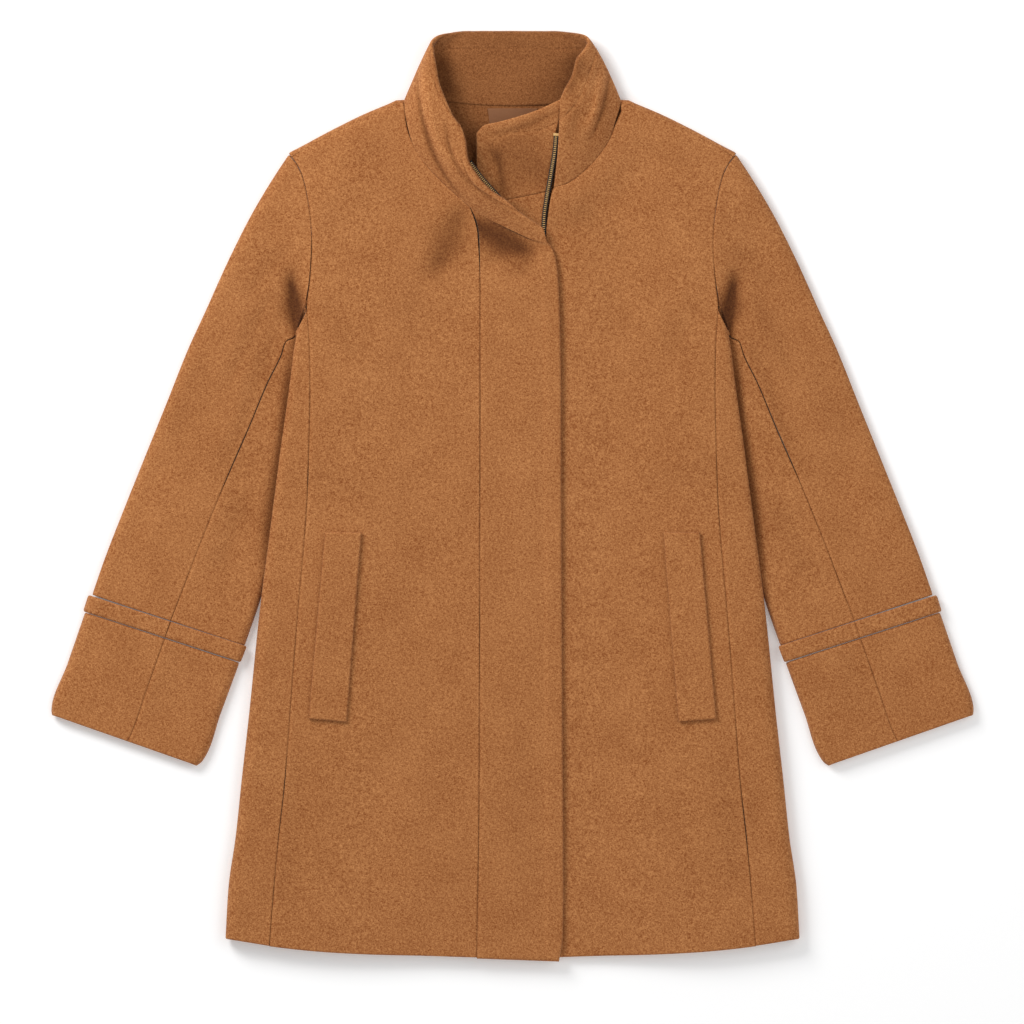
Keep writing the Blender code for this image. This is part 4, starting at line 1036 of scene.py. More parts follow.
@dataclass
class Cloth:
    """One cut piece of cloth, ready to be made into a mesh."""

    name: str
    grid: Grid
    thickness: float
    face: Face = Face.UP_AT_START
    edges: Sequence[Edge] = SEWN        # first and last row, first and last column
    creases: Sequence[Crease] = ()
    stitches: Sequence[Stitch] = ()
    lump: float = 0.35
    groove: float = 0.5
    plain_near: Sequence[float] = (0.0, 0.0, 0.0)   # no groove within this x, y and radius

    def outward(self, grid: Grid) -> Grid:
        """Unit normals that point out of the cloth's outer face."""
        found = normals(grid)
        if self.face is Face.WITH:
            return found
        if self.face is Face.AGAINST:
            return -found
        if self.face is Face.DOWN:
            return found * (-1.0 if found[..., 2].mean() > 0 else 1.0)
        return found * (1.0 if found[2:-2, 3:7, 2].mean() > 0 else -1.0)

    def shaped(self) -> tuple[Grid, np.ndarray]:
        """The surface with its creases and the gentle lumps of laid cloth, and the painted shade that its
        creases give it where it faces up.
        """
        out = self.outward(self.grid)
        upper = np.clip(out[..., 2] * 1.4, 0.0, 1.0)
        inside = np.clip(np.min(border_distances(self.grid), axis=0) / 14.0, 0.0, 1.0)
        depth, shade = crease(self.grid, self.creases)
        shape = self.grid.copy()
        shape[..., 2] -= (depth - unevenness(self.grid, self.lump)) * upper * inside ** 0.5
        return shape, shade * upper

    def ends(self, grid: Grid) -> tuple[np.ndarray, np.ndarray, np.ndarray]:
        """How far the outer and inner faces draw in near the borders, and the seam's distance."""
        half = self.thickness / 2
        outer, inner = np.zeros(grid.shape[:2]), np.zeros(grid.shape[:2])
        seam = np.full(grid.shape[:2], 99.0)
        x, y, radius = self.plain_near
        away = np.hypot(grid[..., 0] - x, grid[..., 1] - y)
        strength = np.clip((away - radius) / 14.0, 0.0, 1.0) if radius else 1.0
        for kind, distance in zip(self.edges, border_distances(grid)):
            if kind is Edge.SEAM:
                outer = np.maximum(outer, self.groove * strength * np.exp(-(distance / 1.1) ** 2))
                seam = np.minimum(seam, distance + 6.0 * (1.0 - strength))
            elif kind is Edge.FREE:
                drawn = half * (1.0 - rounded(distance / half))
                outer, inner = np.maximum(outer, drawn), np.maximum(inner, drawn)
            elif kind is Edge.FOLD:
                drawn = 2 * half * (1.0 - rounded(distance / (2 * half)))
                outer = np.maximum(outer, drawn)
        return outer, inner, seam

    def make(self, material: bpy.types.Material, slot: str, nodes: Sequence[str],
             rests_on: Sequence[str]) -> bpy.types.Object:
        """Args:
            material: its finish.
            slot: the slot that its finish comes from; not used.
            nodes: the frame's nodes that it stands for.
            rests_on: what it lies on; not used.

        Returns:
            The new object.
        """
        grid, painted_shade = self.shaped()
        out = self.outward(grid)
        half = self.thickness / 2
        outer_in, inner_in, seam = self.ends(grid)
        line = np.full(seam.shape, 99.0)
        for stitch in self.stitches:
            distance, _ = line_distance(grid, smooth_line(stitch.line, 40))
            distance = np.abs(distance)
            outer_in = outer_in + 0.45 * stitch.strength * np.exp(-(distance / 1.5) ** 2)
            line = np.minimum(line, distance + 1.6 * (1.0 - stitch.strength))
        outer = grid + out * (half - outer_in)[..., None]
        inner = grid - out * (half - inner_in)[..., None]
        thing = self.closed_mesh(outer, inner, {"seam": seam, "line": line, "painted_shade": painted_shade})
        thing.data.materials.append(material)
        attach(thing, "root")
        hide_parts(*nodes)
        self.declare(grid)
        log.info("%s: %d faces", self.name, len(thing.data.polygons))
        return thing

    def closed_mesh(self, outer: Grid, inner: Grid,
                    layers: dict[str, np.ndarray]) -> bpy.types.Object:
        """Join an outer and an inner face along their shared border.

        Args:
            outer: the outer face's points; its border is kept.
            inner: the inner face's points.
            layers: numbers for the material, one a point.

        Returns:
            The new object.
        """
        rows, columns = outer.shape[:2]
        top = np.arange(rows * columns).reshape(rows, columns)
        under = top.copy()
        under[1:-1, 1:-1] = rows * columns + np.arange((rows - 2) * (columns - 2)).reshape(
            rows - 2, columns - 2)
        points = np.concatenate([outer.reshape(-1, 3), inner[1:-1, 1:-1].reshape(-1, 3)]) * MM

        def quads(index: np.ndarray, flip: bool) -> np.ndarray:
            """Four corners for each cell of a grid of point numbers."""
            corners = [index[:-1, :-1], index[1:, :-1], index[1:, 1:], index[:-1, 1:]]
            cells = np.stack(corners, axis=-1).reshape(-1, 4)
            return cells[:, ::-1] if flip else cells

        own = normals(outer)
        flip = bool((own * self.outward(outer)).sum() < 0)
        faces = np.concatenate([quads(top, flip), quads(under, not flip)])
        mesh = bpy.data.meshes.new(self.name)
        mesh.from_pydata(points.tolist(), [], faces.tolist())
        mesh.polygons.foreach_set("use_smooth", [True] * len(mesh.polygons))
        for name, values in layers.items():
            layer = mesh.attributes.new(name, "FLOAT", "POINT")
            flat = np.concatenate([values.reshape(-1), values[1:-1, 1:-1].reshape(-1)])
            layer.data.foreach_set("value", flat.astype(np.float32))
        mesh.update()
        thing = bpy.data.objects.new(self.name, mesh)
        bpy.context.scene.collection.objects.link(thing)
        return thing

    def declare(self, grid: Grid) -> None:
        """Work out the size that the piece was cut to, with its seam lines as its edges; nothing is stated
        or kept.
        """
        down = np.linalg.norm(np.diff(grid, axis=0), axis=2).sum(axis=0).max() * MM
        across = np.linalg.norm(np.diff(grid, axis=1), axis=2).sum(axis=1).max() * MM
        first, second = np.diff(grid, axis=0)[:, :-1], np.diff(grid, axis=1)[:-1]
        area = float(np.linalg.norm(np.cross(first, second), axis=2).sum()) * MM * MM
        width, length = sorted((max(NARROWEST, float(across)), float(down)))
        area = min(area, 0.999 * width * length)


# ---- shader maths --------------------------------------------------------------------------------

Number = Union[float, "Signal"]


class Nodes:
    """A material's node tree, with one method that makes any node."""

    def __init__(self, name: str) -> None:
        """Start a material with a Principled shader and its output."""
        self.material = bpy.data.materials.new(name)
        self.material.use_nodes = True
        self.tree = self.material.node_tree
        self.shader = self.tree.nodes["Principled BSDF"]

    def node(self, kind: str, settings: dict, values: dict) -> bpy.types.Node:
        """Make a node.

        Args:
            kind: the node's type.
            settings: its own settings, set first.
            values: numbers, colours or signals for its sockets, by name or number.

        Returns:
            The node.
        """
        made = self.tree.nodes.new(kind)
        for name, value in settings.items():
            setattr(made, name, value)
        for key, value in values.items():
            self.feed(made.inputs[key], value)
        return made

    def feed(self, socket: bpy.types.NodeSocket, value: object) -> None:
        """Link a signal to a socket, or set the socket's own value."""
        if isinstance(value, Signal):
            self.tree.links.new(value.socket, socket)
        else:
            socket.default_value = value

    def maths(self, operation: str, *values: Number) -> "Signal":
        """A Math node on up to three values."""
        made = self.node("ShaderNodeMath", {"operation": operation}, dict(enumerate(values)))
        return Signal(self, made.outputs[0])

    def blend(self, factor: Number, start: object, end: object, mode: str = "MIX") -> "Signal":
        """A colour Mix node."""
        made = self.node("ShaderNodeMix", {"data_type": "RGBA", "blend_type": mode},
                         {0: factor, 6: start, 7: end})
        return Signal(self, made.outputs[2])

    def tinted(self, colour: "Signal", red: "Signal", green: "Signal",
               blue: "Signal") -> "Signal":
        """A colour multiplied by a level for each of its parts."""
        levels = self.node("ShaderNodeCombineXYZ", {}, {0: red, 1: green, 2: blue})
        return self.blend(1.0, colour, Signal(self, levels.outputs[0]), "MULTIPLY")

    def emboss(self, strength: float, depth: float, height: "Signal") -> None:
        """Give the surface fine relief, up to a depth in metres."""
        made = self.node("ShaderNodeBump", {},
                         {"Strength": strength, "Distance": depth, "Height": height})
        self.feed(self.shader.inputs["Normal"], Signal(self, made.outputs[0]))

    def set_fixed(self, values: dict[str, object]) -> None:
        """Set the shader's constant values."""
        for name, value in values.items():
            self.shader.inputs[name].default_value = value

    def place(self) -> "Signal":
        """The surface point in the object's own metres."""
        made = self.node("ShaderNodeTexCoord", {}, {})
        return Signal(self, made.outputs["Object"])

    def layer(self, name: str) -> "Signal":
        """A number stored on the mesh's points."""
        made = self.node("ShaderNodeAttribute", {"attribute_name": name}, {})
        return Signal(self, made.outputs["Fac"])

    def stretched(self, place: "Signal", turn: float, scale: Point) -> "Signal":
        """A place turned about Z and scaled, for grain that runs one way."""
        made = self.node("ShaderNodeMapping", {"vector_type": "TEXTURE"},
                         {"Vector": place, "Rotation": (0.0, 0.0, turn), "Scale": scale})
        return Signal(self, made.outputs[0])

    def noise(self, place: "Signal", scale: float, detail: float, rough: float = 0.5) -> "Signal":
        """A Noise texture's value."""
        made = self.node("ShaderNodeTexNoise", {},
                         {"Vector": place, "Scale": scale, "Detail": detail, "Roughness": rough})
        return Signal(self, made.outputs["Fac"])

    def clamp(self, value: Number, low: float, high: float) -> "Signal":
        """A value moved from low..high to 0..1 and held there."""
        made = self.node("ShaderNodeMapRange", {"clamp": True},
                         {"Value": value, "From Min": low, "From Max": high})
        return Signal(self, made.outputs[0])


@dataclass(frozen=True)
class Signal:
    """A node's output, with Python's operators as Math nodes."""

    nodes: Nodes
    socket: bpy.types.NodeSocket

    def __add__(self, other: Number) -> "Signal":
        """self + other."""
        return self.nodes.maths("ADD", self, other)

    __radd__ = __add__

    def __sub__(self, other: Number) -> "Signal":
        """self - other."""
        return self.nodes.maths("SUBTRACT", self, other)

    def __rsub__(self, other: Number) -> "Signal":
        """other - self."""
        return self.nodes.maths("SUBTRACT", other, self)

    def __mul__(self, other: Number) -> "Signal":
        """self * other."""
        return self.nodes.maths("MULTIPLY", self, other)

    __rmul__ = __mul__

    def __truediv__(self, other: Number) -> "Signal":
        """self / other."""
        return self.nodes.maths("DIVIDE", self, other)

    def __rtruediv__(self, other: Number) -> "Signal":
        """other / self."""
        return self.nodes.maths("DIVIDE", other, self)

    def bell(self, width: float) -> "Signal":
        """1 where the signal is 0, falling off within a width."""
        share = self / width
        return self.nodes.maths("EXPONENT", share * share * -1.0)


# ---- finishes ------------------------------------------------------------------------------------

Colour = tuple[float, float, float, float]


@dataclass(frozen=True)
class Melton:
    """Felted wool: heathered, dull, with short fibres every way and a soft sheen, with painted shade in its
    seams, stitch lines and creases and painted highlights on ridges and beside seams.
    """

    name: str
    dark: Colour
    light: Colour
    painted_shade: float = 0.70        # share of the colour that painted shade takes away at its strongest
    bump: float = 0.5
    relief: float = 0.0003      # m
    fibre_turns: Sequence[float] = (0.3, 1.2, 2.0, 2.8)
    fibre_stretch: Point = (1.0, 0.3, 1.0)
    fibre_scale: float = 300.0
    mottle_scale: float = 640.0
    cloud_scale: float = 30.0

    def material(self) -> bpy.types.Material:
        """Make the finish."""
        nodes = Nodes(self.name)
        place = nodes.place()
        cloud = nodes.noise(place, self.cloud_scale, 3.0)
        mottle = nodes.noise(place, self.mottle_scale, 2.0, 0.6)
        grains = [nodes.noise(nodes.stretched(place, turn, self.fibre_stretch),
                              self.fibre_scale, 1.5, 0.5) for turn in self.fibre_turns]
        fibres = nodes.maths("MAXIMUM", nodes.maths("MAXIMUM", grains[0], grains[1]),
                             nodes.maths("MAXIMUM", grains[2], grains[3]))
        pits = nodes.maths("MINIMUM", nodes.maths("MINIMUM", grains[0], grains[1]),
                           nodes.maths("MINIMUM", grains[2], grains[3]))
        bright = nodes.clamp(fibres, 0.56, 0.80)
        deep = 1.0 - nodes.clamp(pits, 0.20, 0.42)
        heather = nodes.clamp(mottle * 0.7 + bright * 0.5 - deep * 0.4 + cloud * 0.25, 0.15, 0.95)
        colour = nodes.blend(heather, self.dark, self.light)
        seam, line, painted_shade = nodes.layer("seam"), nodes.layer("line"), nodes.layer("painted_shade")
        # Painted shade in the seam and stitch grooves, and a painted highlight on the raised edges just
        # beside them.
        painted_groove_shade = nodes.maths("MAXIMUM", seam.bell(0.55) * 0.42, line.bell(0.6) * 0.34)
        lip = nodes.maths("MAXIMUM", (seam - 2.4).bell(1.1), (line - 2.2).bell(1.0)) * 0.07
        # Painted shade in the creases' troughs; the line after paints a highlight on their ridges.
        level = (1.0 - painted_groove_shade + lip) * (1.0 - nodes.clamp(painted_shade, 0.0, 8.0) * self.painted_shade)
        level = level * (1.0 + nodes.clamp(painted_shade, 0.0, -3.0) * 0.16)
        colour = nodes.tinted(colour, level, nodes.maths("POWER", level, 1.2),
                              nodes.maths("POWER", level, 1.5))
        nodes.feed(nodes.shader.inputs["Base Color"], colour)
        nodes.feed(nodes.shader.inputs["Roughness"], 0.84 + mottle * 0.14)
        height = mottle * 0.5 + bright * 0.7 - deep * 0.5 - line.bell(0.7) * 1.5
        nodes.emboss(self.bump, self.relief, height)
        nodes.set_fixed({"Sheen Weight": 0.16, "Sheen Roughness": 0.55,
                         "Sheen Tint": (1.0, 0.78, 0.58, 1.0), "Specular IOR Level": 0.18})
        return nodes.material


@dataclass(frozen=True)
class Satin:
    """Smooth woven satin for the bare label."""

    name: str
    dark: Colour
    light: Colour

    def material(self) -> bpy.types.Material:
        """Make the finish."""
        nodes = Nodes(self.name)
        place = nodes.place()
        threads = nodes.noise(nodes.stretched(place, 0.0, (0.2, 1.0, 1.0)), 900.0, 1.0)
        cloud = nodes.noise(place, 60.0, 2.0)
        edge = nodes.layer("seam")
        colour = nodes.blend(nodes.clamp(threads * 0.4 + cloud * 0.6, 0.2, 0.8), self.dark,
                             self.light)
        # Painted shade along any sewn edge of the satin.
        rim = 1.0 - edge.bell(0.7) * 0.35
        nodes.feed(nodes.shader.inputs["Base Color"], nodes.tinted(colour, rim, rim, rim))
        nodes.feed(nodes.shader.inputs["Roughness"], 0.42 + threads * 0.16)
        nodes.emboss(0.3, 0.0001, threads)
        nodes.set_fixed({"Sheen Weight": 0.1})
        return nodes.material


@dataclass(frozen=True)
class Tape:
    """Black woven zip tape with a fine herringbone rib."""

    name: str
    colour: Colour

    def material(self) -> bpy.types.Material:
        """Make the finish."""
        nodes = Nodes(self.name)
        place = nodes.place()
        rib = nodes.node("ShaderNodeTexWave", {"wave_type": "BANDS", "bands_direction": "DIAGONAL"},
                         {"Vector": place, "Scale": 330.0, "Distortion": 1.5})
        ribs = Signal(nodes, rib.outputs["Fac"])
        lighter = tuple(min(1.0, c * 3.0 + 0.012) for c in self.colour[:3]) + (1.0,)
        nodes.feed(nodes.shader.inputs["Base Color"],
                   nodes.blend(ribs * 0.6, self.colour, lighter))
        nodes.feed(nodes.shader.inputs["Roughness"], 0.7 + ribs * 0.15)
        nodes.emboss(0.5, 0.00015, ribs)
        return nodes.material


@dataclass(frozen=True)
class Brass:
    """Rubbed brass of the zip's teeth and stops."""

    name: str
    colour: Colour
    worn: Colour

    def material(self) -> bpy.types.Material:
        """Make the finish."""
        nodes = Nodes(self.name)
        place = nodes.place()
        tarnish = nodes.noise(place, 700.0, 3.0)
        nodes.feed(nodes.shader.inputs["Base Color"],
                   nodes.blend(nodes.clamp(tarnish, 0.35, 0.7), self.worn, self.colour))
        nodes.feed(nodes.shader.inputs["Roughness"], 0.28 + tarnish * 0.2)
        nodes.set_fixed({"Metallic": 0.6})
        return nodes.material

# ---- the coat's sub-assemblies -------------------------------------------------------------------


class Slot(Enum):
    """The material slots that choose each piece's finish."""

    MELTON = "melton"
    INSIDE = "inside"
    LABEL = "label"
    ZIP = "zip"


SIDES = ((-1, "right"), (1, "left"))


@dataclass
class Workroom:
    """Makes the finishes once, and cuts every piece of cloth from them."""

    melton: Melton = Melton("camel melton", (0.227, 0.0578, 0.0091, 1.0),
                            (0.5906, 0.2582, 0.0908, 1.0))
    # The inside finish is the same melton in darker colours: painted shade for the inner collar and the
    # neck facing.
    inside: Melton = Melton("camel melton, inside", (0.15, 0.0409, 0.007, 1.0),
                            (0.3916, 0.1559, 0.0513, 1.0))
    satin: Satin = Satin("label satin", (0.1878, 0.0685, 0.0212, 1.0),
                         (0.2961, 0.117, 0.0395, 1.0))
    tape: Tape = Tape("zip tape", (0.010, 0.008, 0.007, 1.0))
    brass: Brass = Brass("zip brass", (1.0, 0.68, 0.30, 1.0), (0.80, 0.46, 0.16, 1.0))
    made: dict = field(default_factory=dict)

    def finish(self, slot: Slot) -> bpy.types.Material:
        """The finish of a slot's cloth."""
        if slot not in self.made:
            source = {Slot.MELTON: self.melton, Slot.INSIDE: self.inside,
                      Slot.LABEL: self.satin, Slot.ZIP: self.tape}[slot]
            self.made[slot] = source.material()
        return self.made[slot]

    def cut(self, cloth: Cloth, slot: Slot = Slot.MELTON,
            rests_on: Sequence[str] = ()) -> bpy.types.Object:
        """Make a piece that stands for the node of its own name."""
        node = cloth.name.removesuffix("_cloth")
        return cloth.make(self.finish(slot), slot.value, [node], rests_on)


@dataclass
class Body:
    """The back, the two fronts and the two side panels."""

    step: float = 3.0
    back_step: float = 7.0

    def build(self, room: Workroom) -> None:
        """Cut the body's five panels."""
        back = fine(back_grid(), self.back_step, CLOTH)
        hemmed = (Edge.FREE, Edge.SEAM, Edge.SEAM, Edge.SEAM)
        to_shoulder = (Edge.FREE, Edge.FLUSH, Edge.SEAM, Edge.SEAM)
        room.cut(Cloth("back_cloth", back, CLOTH, Face.DOWN, to_shoulder,
                       UNDERSIDE_CREASES))
        for side, word in SIDES:
            rows = self.sided(front_grid(side), side)
            room.cut(Cloth(f"front_{word}_cloth", fine(rows, self.step, CLOTH, lead=-1), CLOTH,
                           edges=to_shoulder, creases=FRONT_CREASES, plain_near=COLLAR_TURN),
                     rests_on=["back_cloth"])
            rows = self.sided([side_section(row, side) for row in SIDE_ROWS], side)
            room.cut(Cloth(f"side_{word}_cloth", fine(rows, self.step, CLOTH, lead=0), CLOTH,
                           edges=hemmed, creases=FRONT_CREASES), rests_on=["back_cloth"])

    @staticmethod
    def sided(rows: Sequence[Sequence[Point]], side: int) -> list[list[Point]]:
        """Half-widths turned into places on one side."""
        return [[(x * side, y, z) for x, y, z in row] for row in rows]


@dataclass
class Sleeve:
    """One sleeve: two long pieces, the folded band and the two cuff pieces."""

    side: int
    word: str
    step: float = 3.0

    def build(self, room: Workroom) -> None:
        """Cut the sleeve's six pieces."""
        folded = (Edge.FREE, Edge.FREE, Edge.SEAM, Edge.SEAM)
        ended = (Edge.SEAM, Edge.FREE, Edge.SEAM, Edge.SEAM)
        parts = (
            ("top_sleeve", SLEEVE_ROWS, CLOTH, False, SEWN, SLEEVE_CREASES),
            ("under_sleeve", SLEEVE_ROWS, CLOTH, True, SEWN, SLEEVE_CREASES),
            ("cuff_band_outer", BAND_ROWS, BAND_CLOTH, False, folded, ()),
            ("cuff_band_inner", BAND_ROWS, BAND_CLOTH, True, folded, ()),
            ("cuff_outer", CUFF_ROWS, CLOTH, False, ended, CUFF_CREASES),
            ("cuff_inner", CUFF_ROWS, CLOTH, True, ended, CUFF_CREASES),
        )
        for name, table, thickness, inner_side, edges, creases in parts:
            rows = [tube_section(row, self.side, thickness / 2, inner_side) for row in table]
            grid = fine(Body.sided(rows, self.side), self.step, thickness, lead=0)
            room.cut(Cloth(f"{name}_{self.word}_cloth", grid, thickness, edges=edges,
                           creases=creases))


@dataclass
class Collar:
    """The collar's outer halves and its inner side, in one loop round the neck."""

    step: float = 2.2

    def build(self, room: Workroom) -> None:
        """Cut the collar's three pieces."""
        right, left = collar_core(RIGHT_COLLAR, -1), collar_core(LEFT_COLLAR, 1)
        loop = np.concatenate([right[2:], left[::-1][1:]])
        pieces = (
            ("collar_right_cloth", right, -COLLAR_GAP, Face.AGAINST, Slot.MELTON),
            ("collar_left_cloth", left, COLLAR_GAP, Face.WITH, Slot.MELTON),
            ("inner_collar_cloth", loop, COLLAR_GAP, Face.WITH, Slot.INSIDE),
        )
        stitches = [Stitch(line, 1.0) for line in (COLLAR_EDGE_SEAM_RIGHT, COLLAR_FRONT_SEAM_RIGHT,
                                                   COLLAR_STITCH_LEFT, INNER_BACK_STITCH)]
        outer_edges = (Edge.FREE, Edge.FLUSH, Edge.SEAM, Edge.FOLD)
        inner_edges = (Edge.FREE, Edge.FREE, Edge.SEAM, Edge.FOLD)
        for name, core, gap, face, slot in pieces:
            grid = fine(moved_out(core, gap), self.step, COLLAR_CLOTH, soft=True)
            room.cut(Cloth(name, grid, COLLAR_CLOTH, face,
                           inner_edges if slot is Slot.INSIDE else outer_edges, COLLAR_CREASES,
                           stitches, lump=0.2, plain_near=COLLAR_TURN), slot)


@dataclass
class Middle:
    """The fly placket and the zip guard with its collar end."""

    step: float = 2.6

    def build(self, room: Workroom) -> None:
        """Cut the placket and the guard's two pieces."""
        placket = fine(placket_grid(), self.step, PLACKET_CLOTH)
        edges = (Edge.FREE, Edge.FLUSH, Edge.SEAM, Edge.FREE)
        room.cut(Cloth("placket_cloth", placket, PLACKET_CLOTH, edges=edges,
                       creases=PLACKET_CREASES, stitches=[Stitch(FLY_STITCH, 0.3)],
                       plain_near=COLLAR_TURN), rests_on=["front_left_cloth"])
        guard = fine(guard_grid(), self.step * 2, GUARD_CLOTH)
        room.cut(Cloth("zip_guard_cloth", guard, GUARD_CLOTH,
                       edges=(Edge.FREE, Edge.SEAM, Edge.FREE, Edge.FREE),
                       creases=GUARD_CREASES, lump=0.1),
                 rests_on=["back_cloth"])
        end = fine(guard_collar_grid(), self.step, GUARD_CLOTH)
        room.cut(Cloth("guard_collar_cloth", end, GUARD_CLOTH,
                       edges=(Edge.SEAM, Edge.FREE, Edge.FLUSH, Edge.FREE),
                       creases=GUARD_CREASES, stitches=[Stitch(COLLAR_STITCH_LEFT, 1.0)],
                       lump=0.15))


@dataclass
class Pockets:
    """The two slanting pocket welts."""

    step: float = 2.6

    def build(self, room: Workroom) -> None:
        """Cut the welts."""
        for side, word in SIDES:
            grid = fine(Body.sided(welt_grid(side), side), self.step, WELT_CLOTH)
            room.cut(Cloth(f"pocket_welt_{word}_cloth", grid, WELT_CLOTH, edges=LOOSE),
                     rests_on=[f"front_{word}_cloth"])


@dataclass
class NeckInside:
    """The back-neck facing and the bare label on it."""

    step: float = 2.6

    def build(self, room: Workroom) -> None:
        """Cut the facing and the label."""
        facing = fine(facing_grid(), self.step, FACING_CLOTH)
        room.cut(Cloth("neck_facing_cloth", facing, FACING_CLOTH, edges=LOOSE, lump=0.1),
                 Slot.INSIDE, ["back_cloth"])
        label = fine(label_grid(), self.step / 2, LABEL_CLOTH)
        room.cut(Cloth("neck_label_cloth", label, LABEL_CLOTH, edges=LOOSE, lump=0.1), Slot.LABEL,
                 ["neck_facing_cloth"])


@dataclass
class Zip:
    """One half of the zip: its tape, brass teeth and, on the left, the top stop."""

    side: int
    word: str
    pitch: float = 2.0
    tooth: Point = (2.6, 0.9, 1.6)     # across, along and through the tape
    stop: Point = (6.0, 2.8, 2.2)
    inset: float = 0.03                 # of the tape's width, from its middle to the teeth

    def build(self, room: Workroom) -> None:
        """Cut the tape and set the teeth along its inner edge."""
        route = zip_route(self.side)
        tape = fine(tape_grid(route, ZIP_WIDTH), 2.0, ZIP_CLOTH)
        room.cut(Cloth(f"zip_{self.word}_cloth", tape, ZIP_CLOTH, edges=LOOSE, lump=0.0), Slot.ZIP)
        self.teeth(route, room)

    def teeth(self, route: Sequence[Point], room: Workroom) -> None:
        """Set the brass teeth, half a pitch apart from the other half's."""
        line = np.array(route, dtype=float)[:, None, :]
        length = float(along(line)[-1])
        start = self.pitch * (1.0 if self.side < 0 else 1.5)
        places = np.arange(start, length - 1.0, self.pitch)
        spots = refine(line, places, False)[:, 0]
        ahead = refine(line, places + 0.5, False)[:, 0] - spots
        builder = BoxMesh()
        for spot, run in zip(spots, ahead):
            builder.add(spot, run, self.inward(), self.tooth)
        if self.side > 0:
            first = refine(line, np.array([0.4, 0.9]), False)[:, 0]
            builder.add(first[0], first[1] - first[0], -0.2, self.stop)
        teeth = builder.make(f"zip_{self.word}_teeth")
        teeth.data.materials.append(room.brass.material() if "brass" not in room.made
                                    else room.made["brass"])
        room.made["brass"] = teeth.data.materials[0]
        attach(teeth, "root")
        log.info("%s: %d teeth", teeth.name, len(places))

    def inward(self) -> float:
        """How far the teeth lie from the tape's middle, towards the other half."""
        return -self.side * ZIP_WIDTH * self.inset


class BoxMesh:
    """Many small bevelled blocks gathered into one mesh."""

    rings = ((-1.0, 0.8), (-0.6, 1.0), (0.6, 1.0), (1.0, 0.76))   # half-heights up, share of size
    proud = 0.35                # mm, from the tape's middle up to a block's

    def __init__(self) -> None:
        """Start with no blocks."""
        self.points: list[Point] = []
        self.faces: list[tuple[int, ...]] = []

    def add(self, spot: np.ndarray, run: np.ndarray, inward: float, size: Point) -> None:
        """Add a block.

        Args:
            spot: a point on the tape's middle line.
            run: the tape's direction there.
            inward: how far across the tape the block's middle lies; positive is to +X.
            size: its length across, along and through the tape.
        """
        forward = Vector(run).normalized()
        across = Vector((-forward.y, forward.x, 0.0)).normalized()
        if across.x < 0:
            across.negate()
        up = across.cross(forward).normalized()
        if up.z < 0:
            up.negate()
        middle = Vector(spot) + across * inward + up * self.proud
        first = len(self.points)
        for height, share in self.rings:
            for a, b in ((-1, -1), (1, -1), (1, 1), (-1, 1)):
                corner = middle + (across * a * size[0] + forward * b * size[1]) * share / 2
                self.points.append(tuple((corner + up * height * size[2] / 2) * MM))
        for ring in range(len(self.rings) - 1):
            low = first + 4 * ring
            for k in range(4):
                n = (k + 1) % 4
                self.faces.append((low + k, low + n, low + 4 + n, low + 4 + k))
        self.faces.append(tuple(first + k for k in (3, 2, 1, 0)))
        self.faces.append(tuple(first + 12 + k for k in range(4)))

    def make(self, name: str) -> bpy.types.Object:
        """Turn the blocks into an object."""
        mesh = bpy.data.meshes.new(name)
        mesh.from_pydata(self.points, [], self.faces)
        mesh.update()
        thing = bpy.data.objects.new(name, mesh)
        bpy.context.scene.collection.objects.link(thing)
        return thing


# ---- the studio ----------------------------------------------------------------------------------


@dataclass
class Softbox:
    """One large area light."""

    name: str
    place: Point
    size: float
    power: float
    colour: Point = (1.0, 1.0, 1.0)

    def build(self) -> None:
        """Hang the light, aimed at the coat's middle."""
        data = bpy.data.lights.new(self.name, "AREA")
        data.shape = "SQUARE"
        data.size = self.size
        data.energy = self.power
        data.color = self.colour
        lamp = bpy.data.objects.new(self.name, data)
        lamp.location = self.place
        lamp.rotation_euler = (Vector((0.0, 0.0, 0.0)) - Vector(self.place)).to_track_quat(
            "-Z", "Y").to_euler()
        bpy.context.scene.collection.objects.link(lamp)


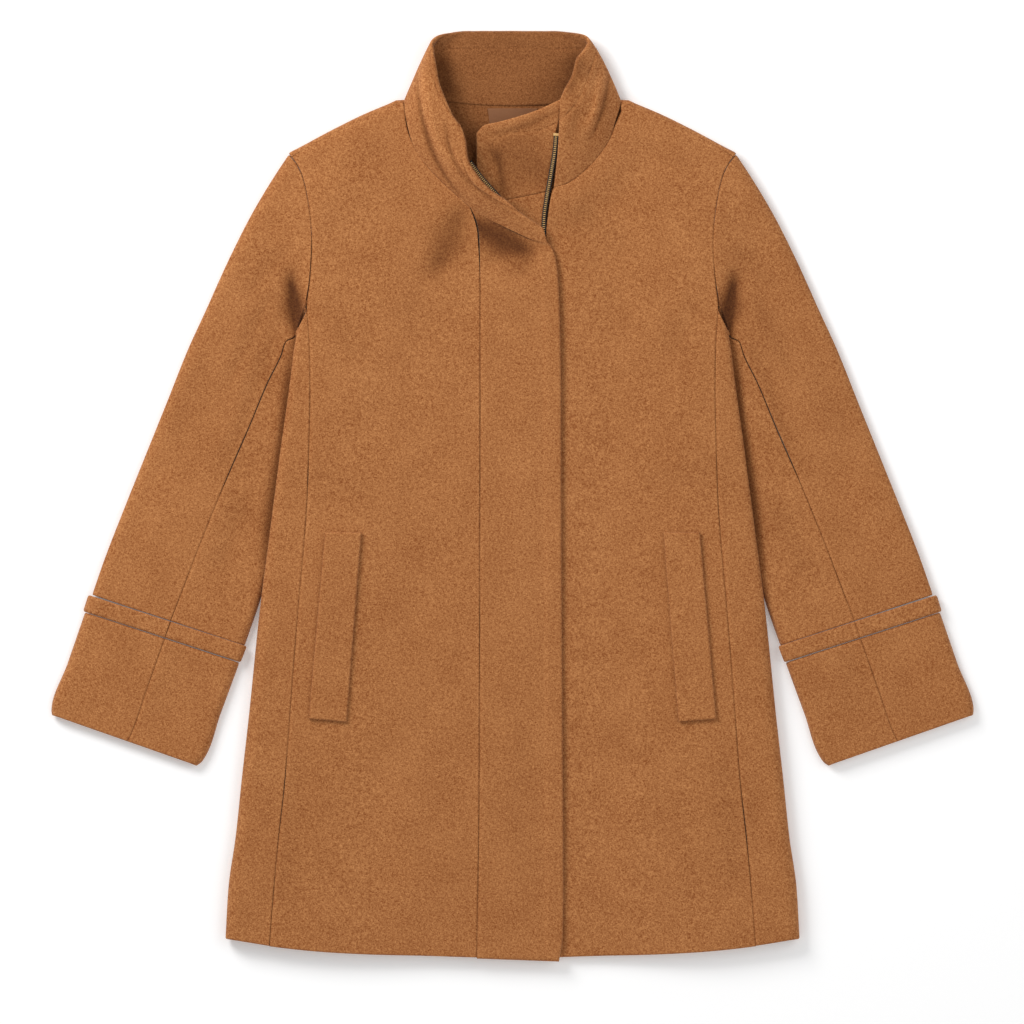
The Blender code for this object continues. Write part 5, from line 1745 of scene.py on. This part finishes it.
@dataclass
class Studio:
    """A white table, soft light and a camera that looks straight down."""

    frame_width: float = 1.024
    aim: tuple[float, float] = (-0.0005, -0.016)
    world: float = 0.42
    eye_height: float = 3.0
    table_size: float = 12.0
    table_drop: float = 0.0004          # the table lies this far below the coat
    white: Colour = (0.96, 0.96, 0.96, 1.0)     # the table's
    glow: float = 0.14                  # the table's own light
    lights: Sequence[Softbox] = (
        Softbox("key softbox", (-1.7, 1.7, 1.6), 1.3, 62.0),
        Softbox("fill softbox", (1.9, 0.4, 1.9), 2.0, 16.0),
        Softbox("foot softbox", (0.0, -2.0, 1.8), 2.0, 8.0),
    )

    def build(self) -> None:
        """Set up the floor, the lights and the camera."""
        scene = bpy.context.scene
        scene.view_settings.view_transform = "Standard"
        world = bpy.data.worlds.new("studio")
        world.use_nodes = True
        world.node_tree.nodes["Background"].inputs["Color"].default_value = (1, 1, 1, 1)
        world.node_tree.nodes["Background"].inputs["Strength"].default_value = self.world
        scene.world = world
        for light in self.lights:
            light.build()
        self.floor()
        camera = bpy.data.cameras.new("camera")
        camera.type = "ORTHO"
        camera.ortho_scale = self.frame_width
        eye = bpy.data.objects.new("camera", camera)
        eye.location = (*self.aim, self.eye_height)
        scene.collection.objects.link(eye)
        scene.camera = eye

    def floor(self) -> None:
        """Lay the white table just under the coat."""
        bpy.ops.mesh.primitive_plane_add(size=self.table_size,
                                         location=(0.0, 0.0, -self.table_drop))
        table = bpy.context.object
        table.name = "table"
        nodes = Nodes("white table")
        nodes.set_fixed({"Base Color": self.white, "Emission Color": (1.0, 1.0, 1.0, 1.0),
                         "Emission Strength": self.glow, "Roughness": 0.9,
                         "Specular IOR Level": 0.1})
        table.data.materials.append(nodes.material)


# ---- main ----------------------------------------------------------------------------------------


def main() -> None:
    """Build the coat on its frame, in a white studio."""
    logging.basicConfig(level=logging.INFO, format="%(message)s")
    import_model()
    Studio().build()
    room = Workroom()
    for part in (Body(), NeckInside(), Middle(), Pockets(), Collar()):
        part.build(room)
    for side, word in SIDES:
        Zip(side, word).build(room)
        Sleeve(side, word).build(room)


if __name__ == "__main__":
    main()
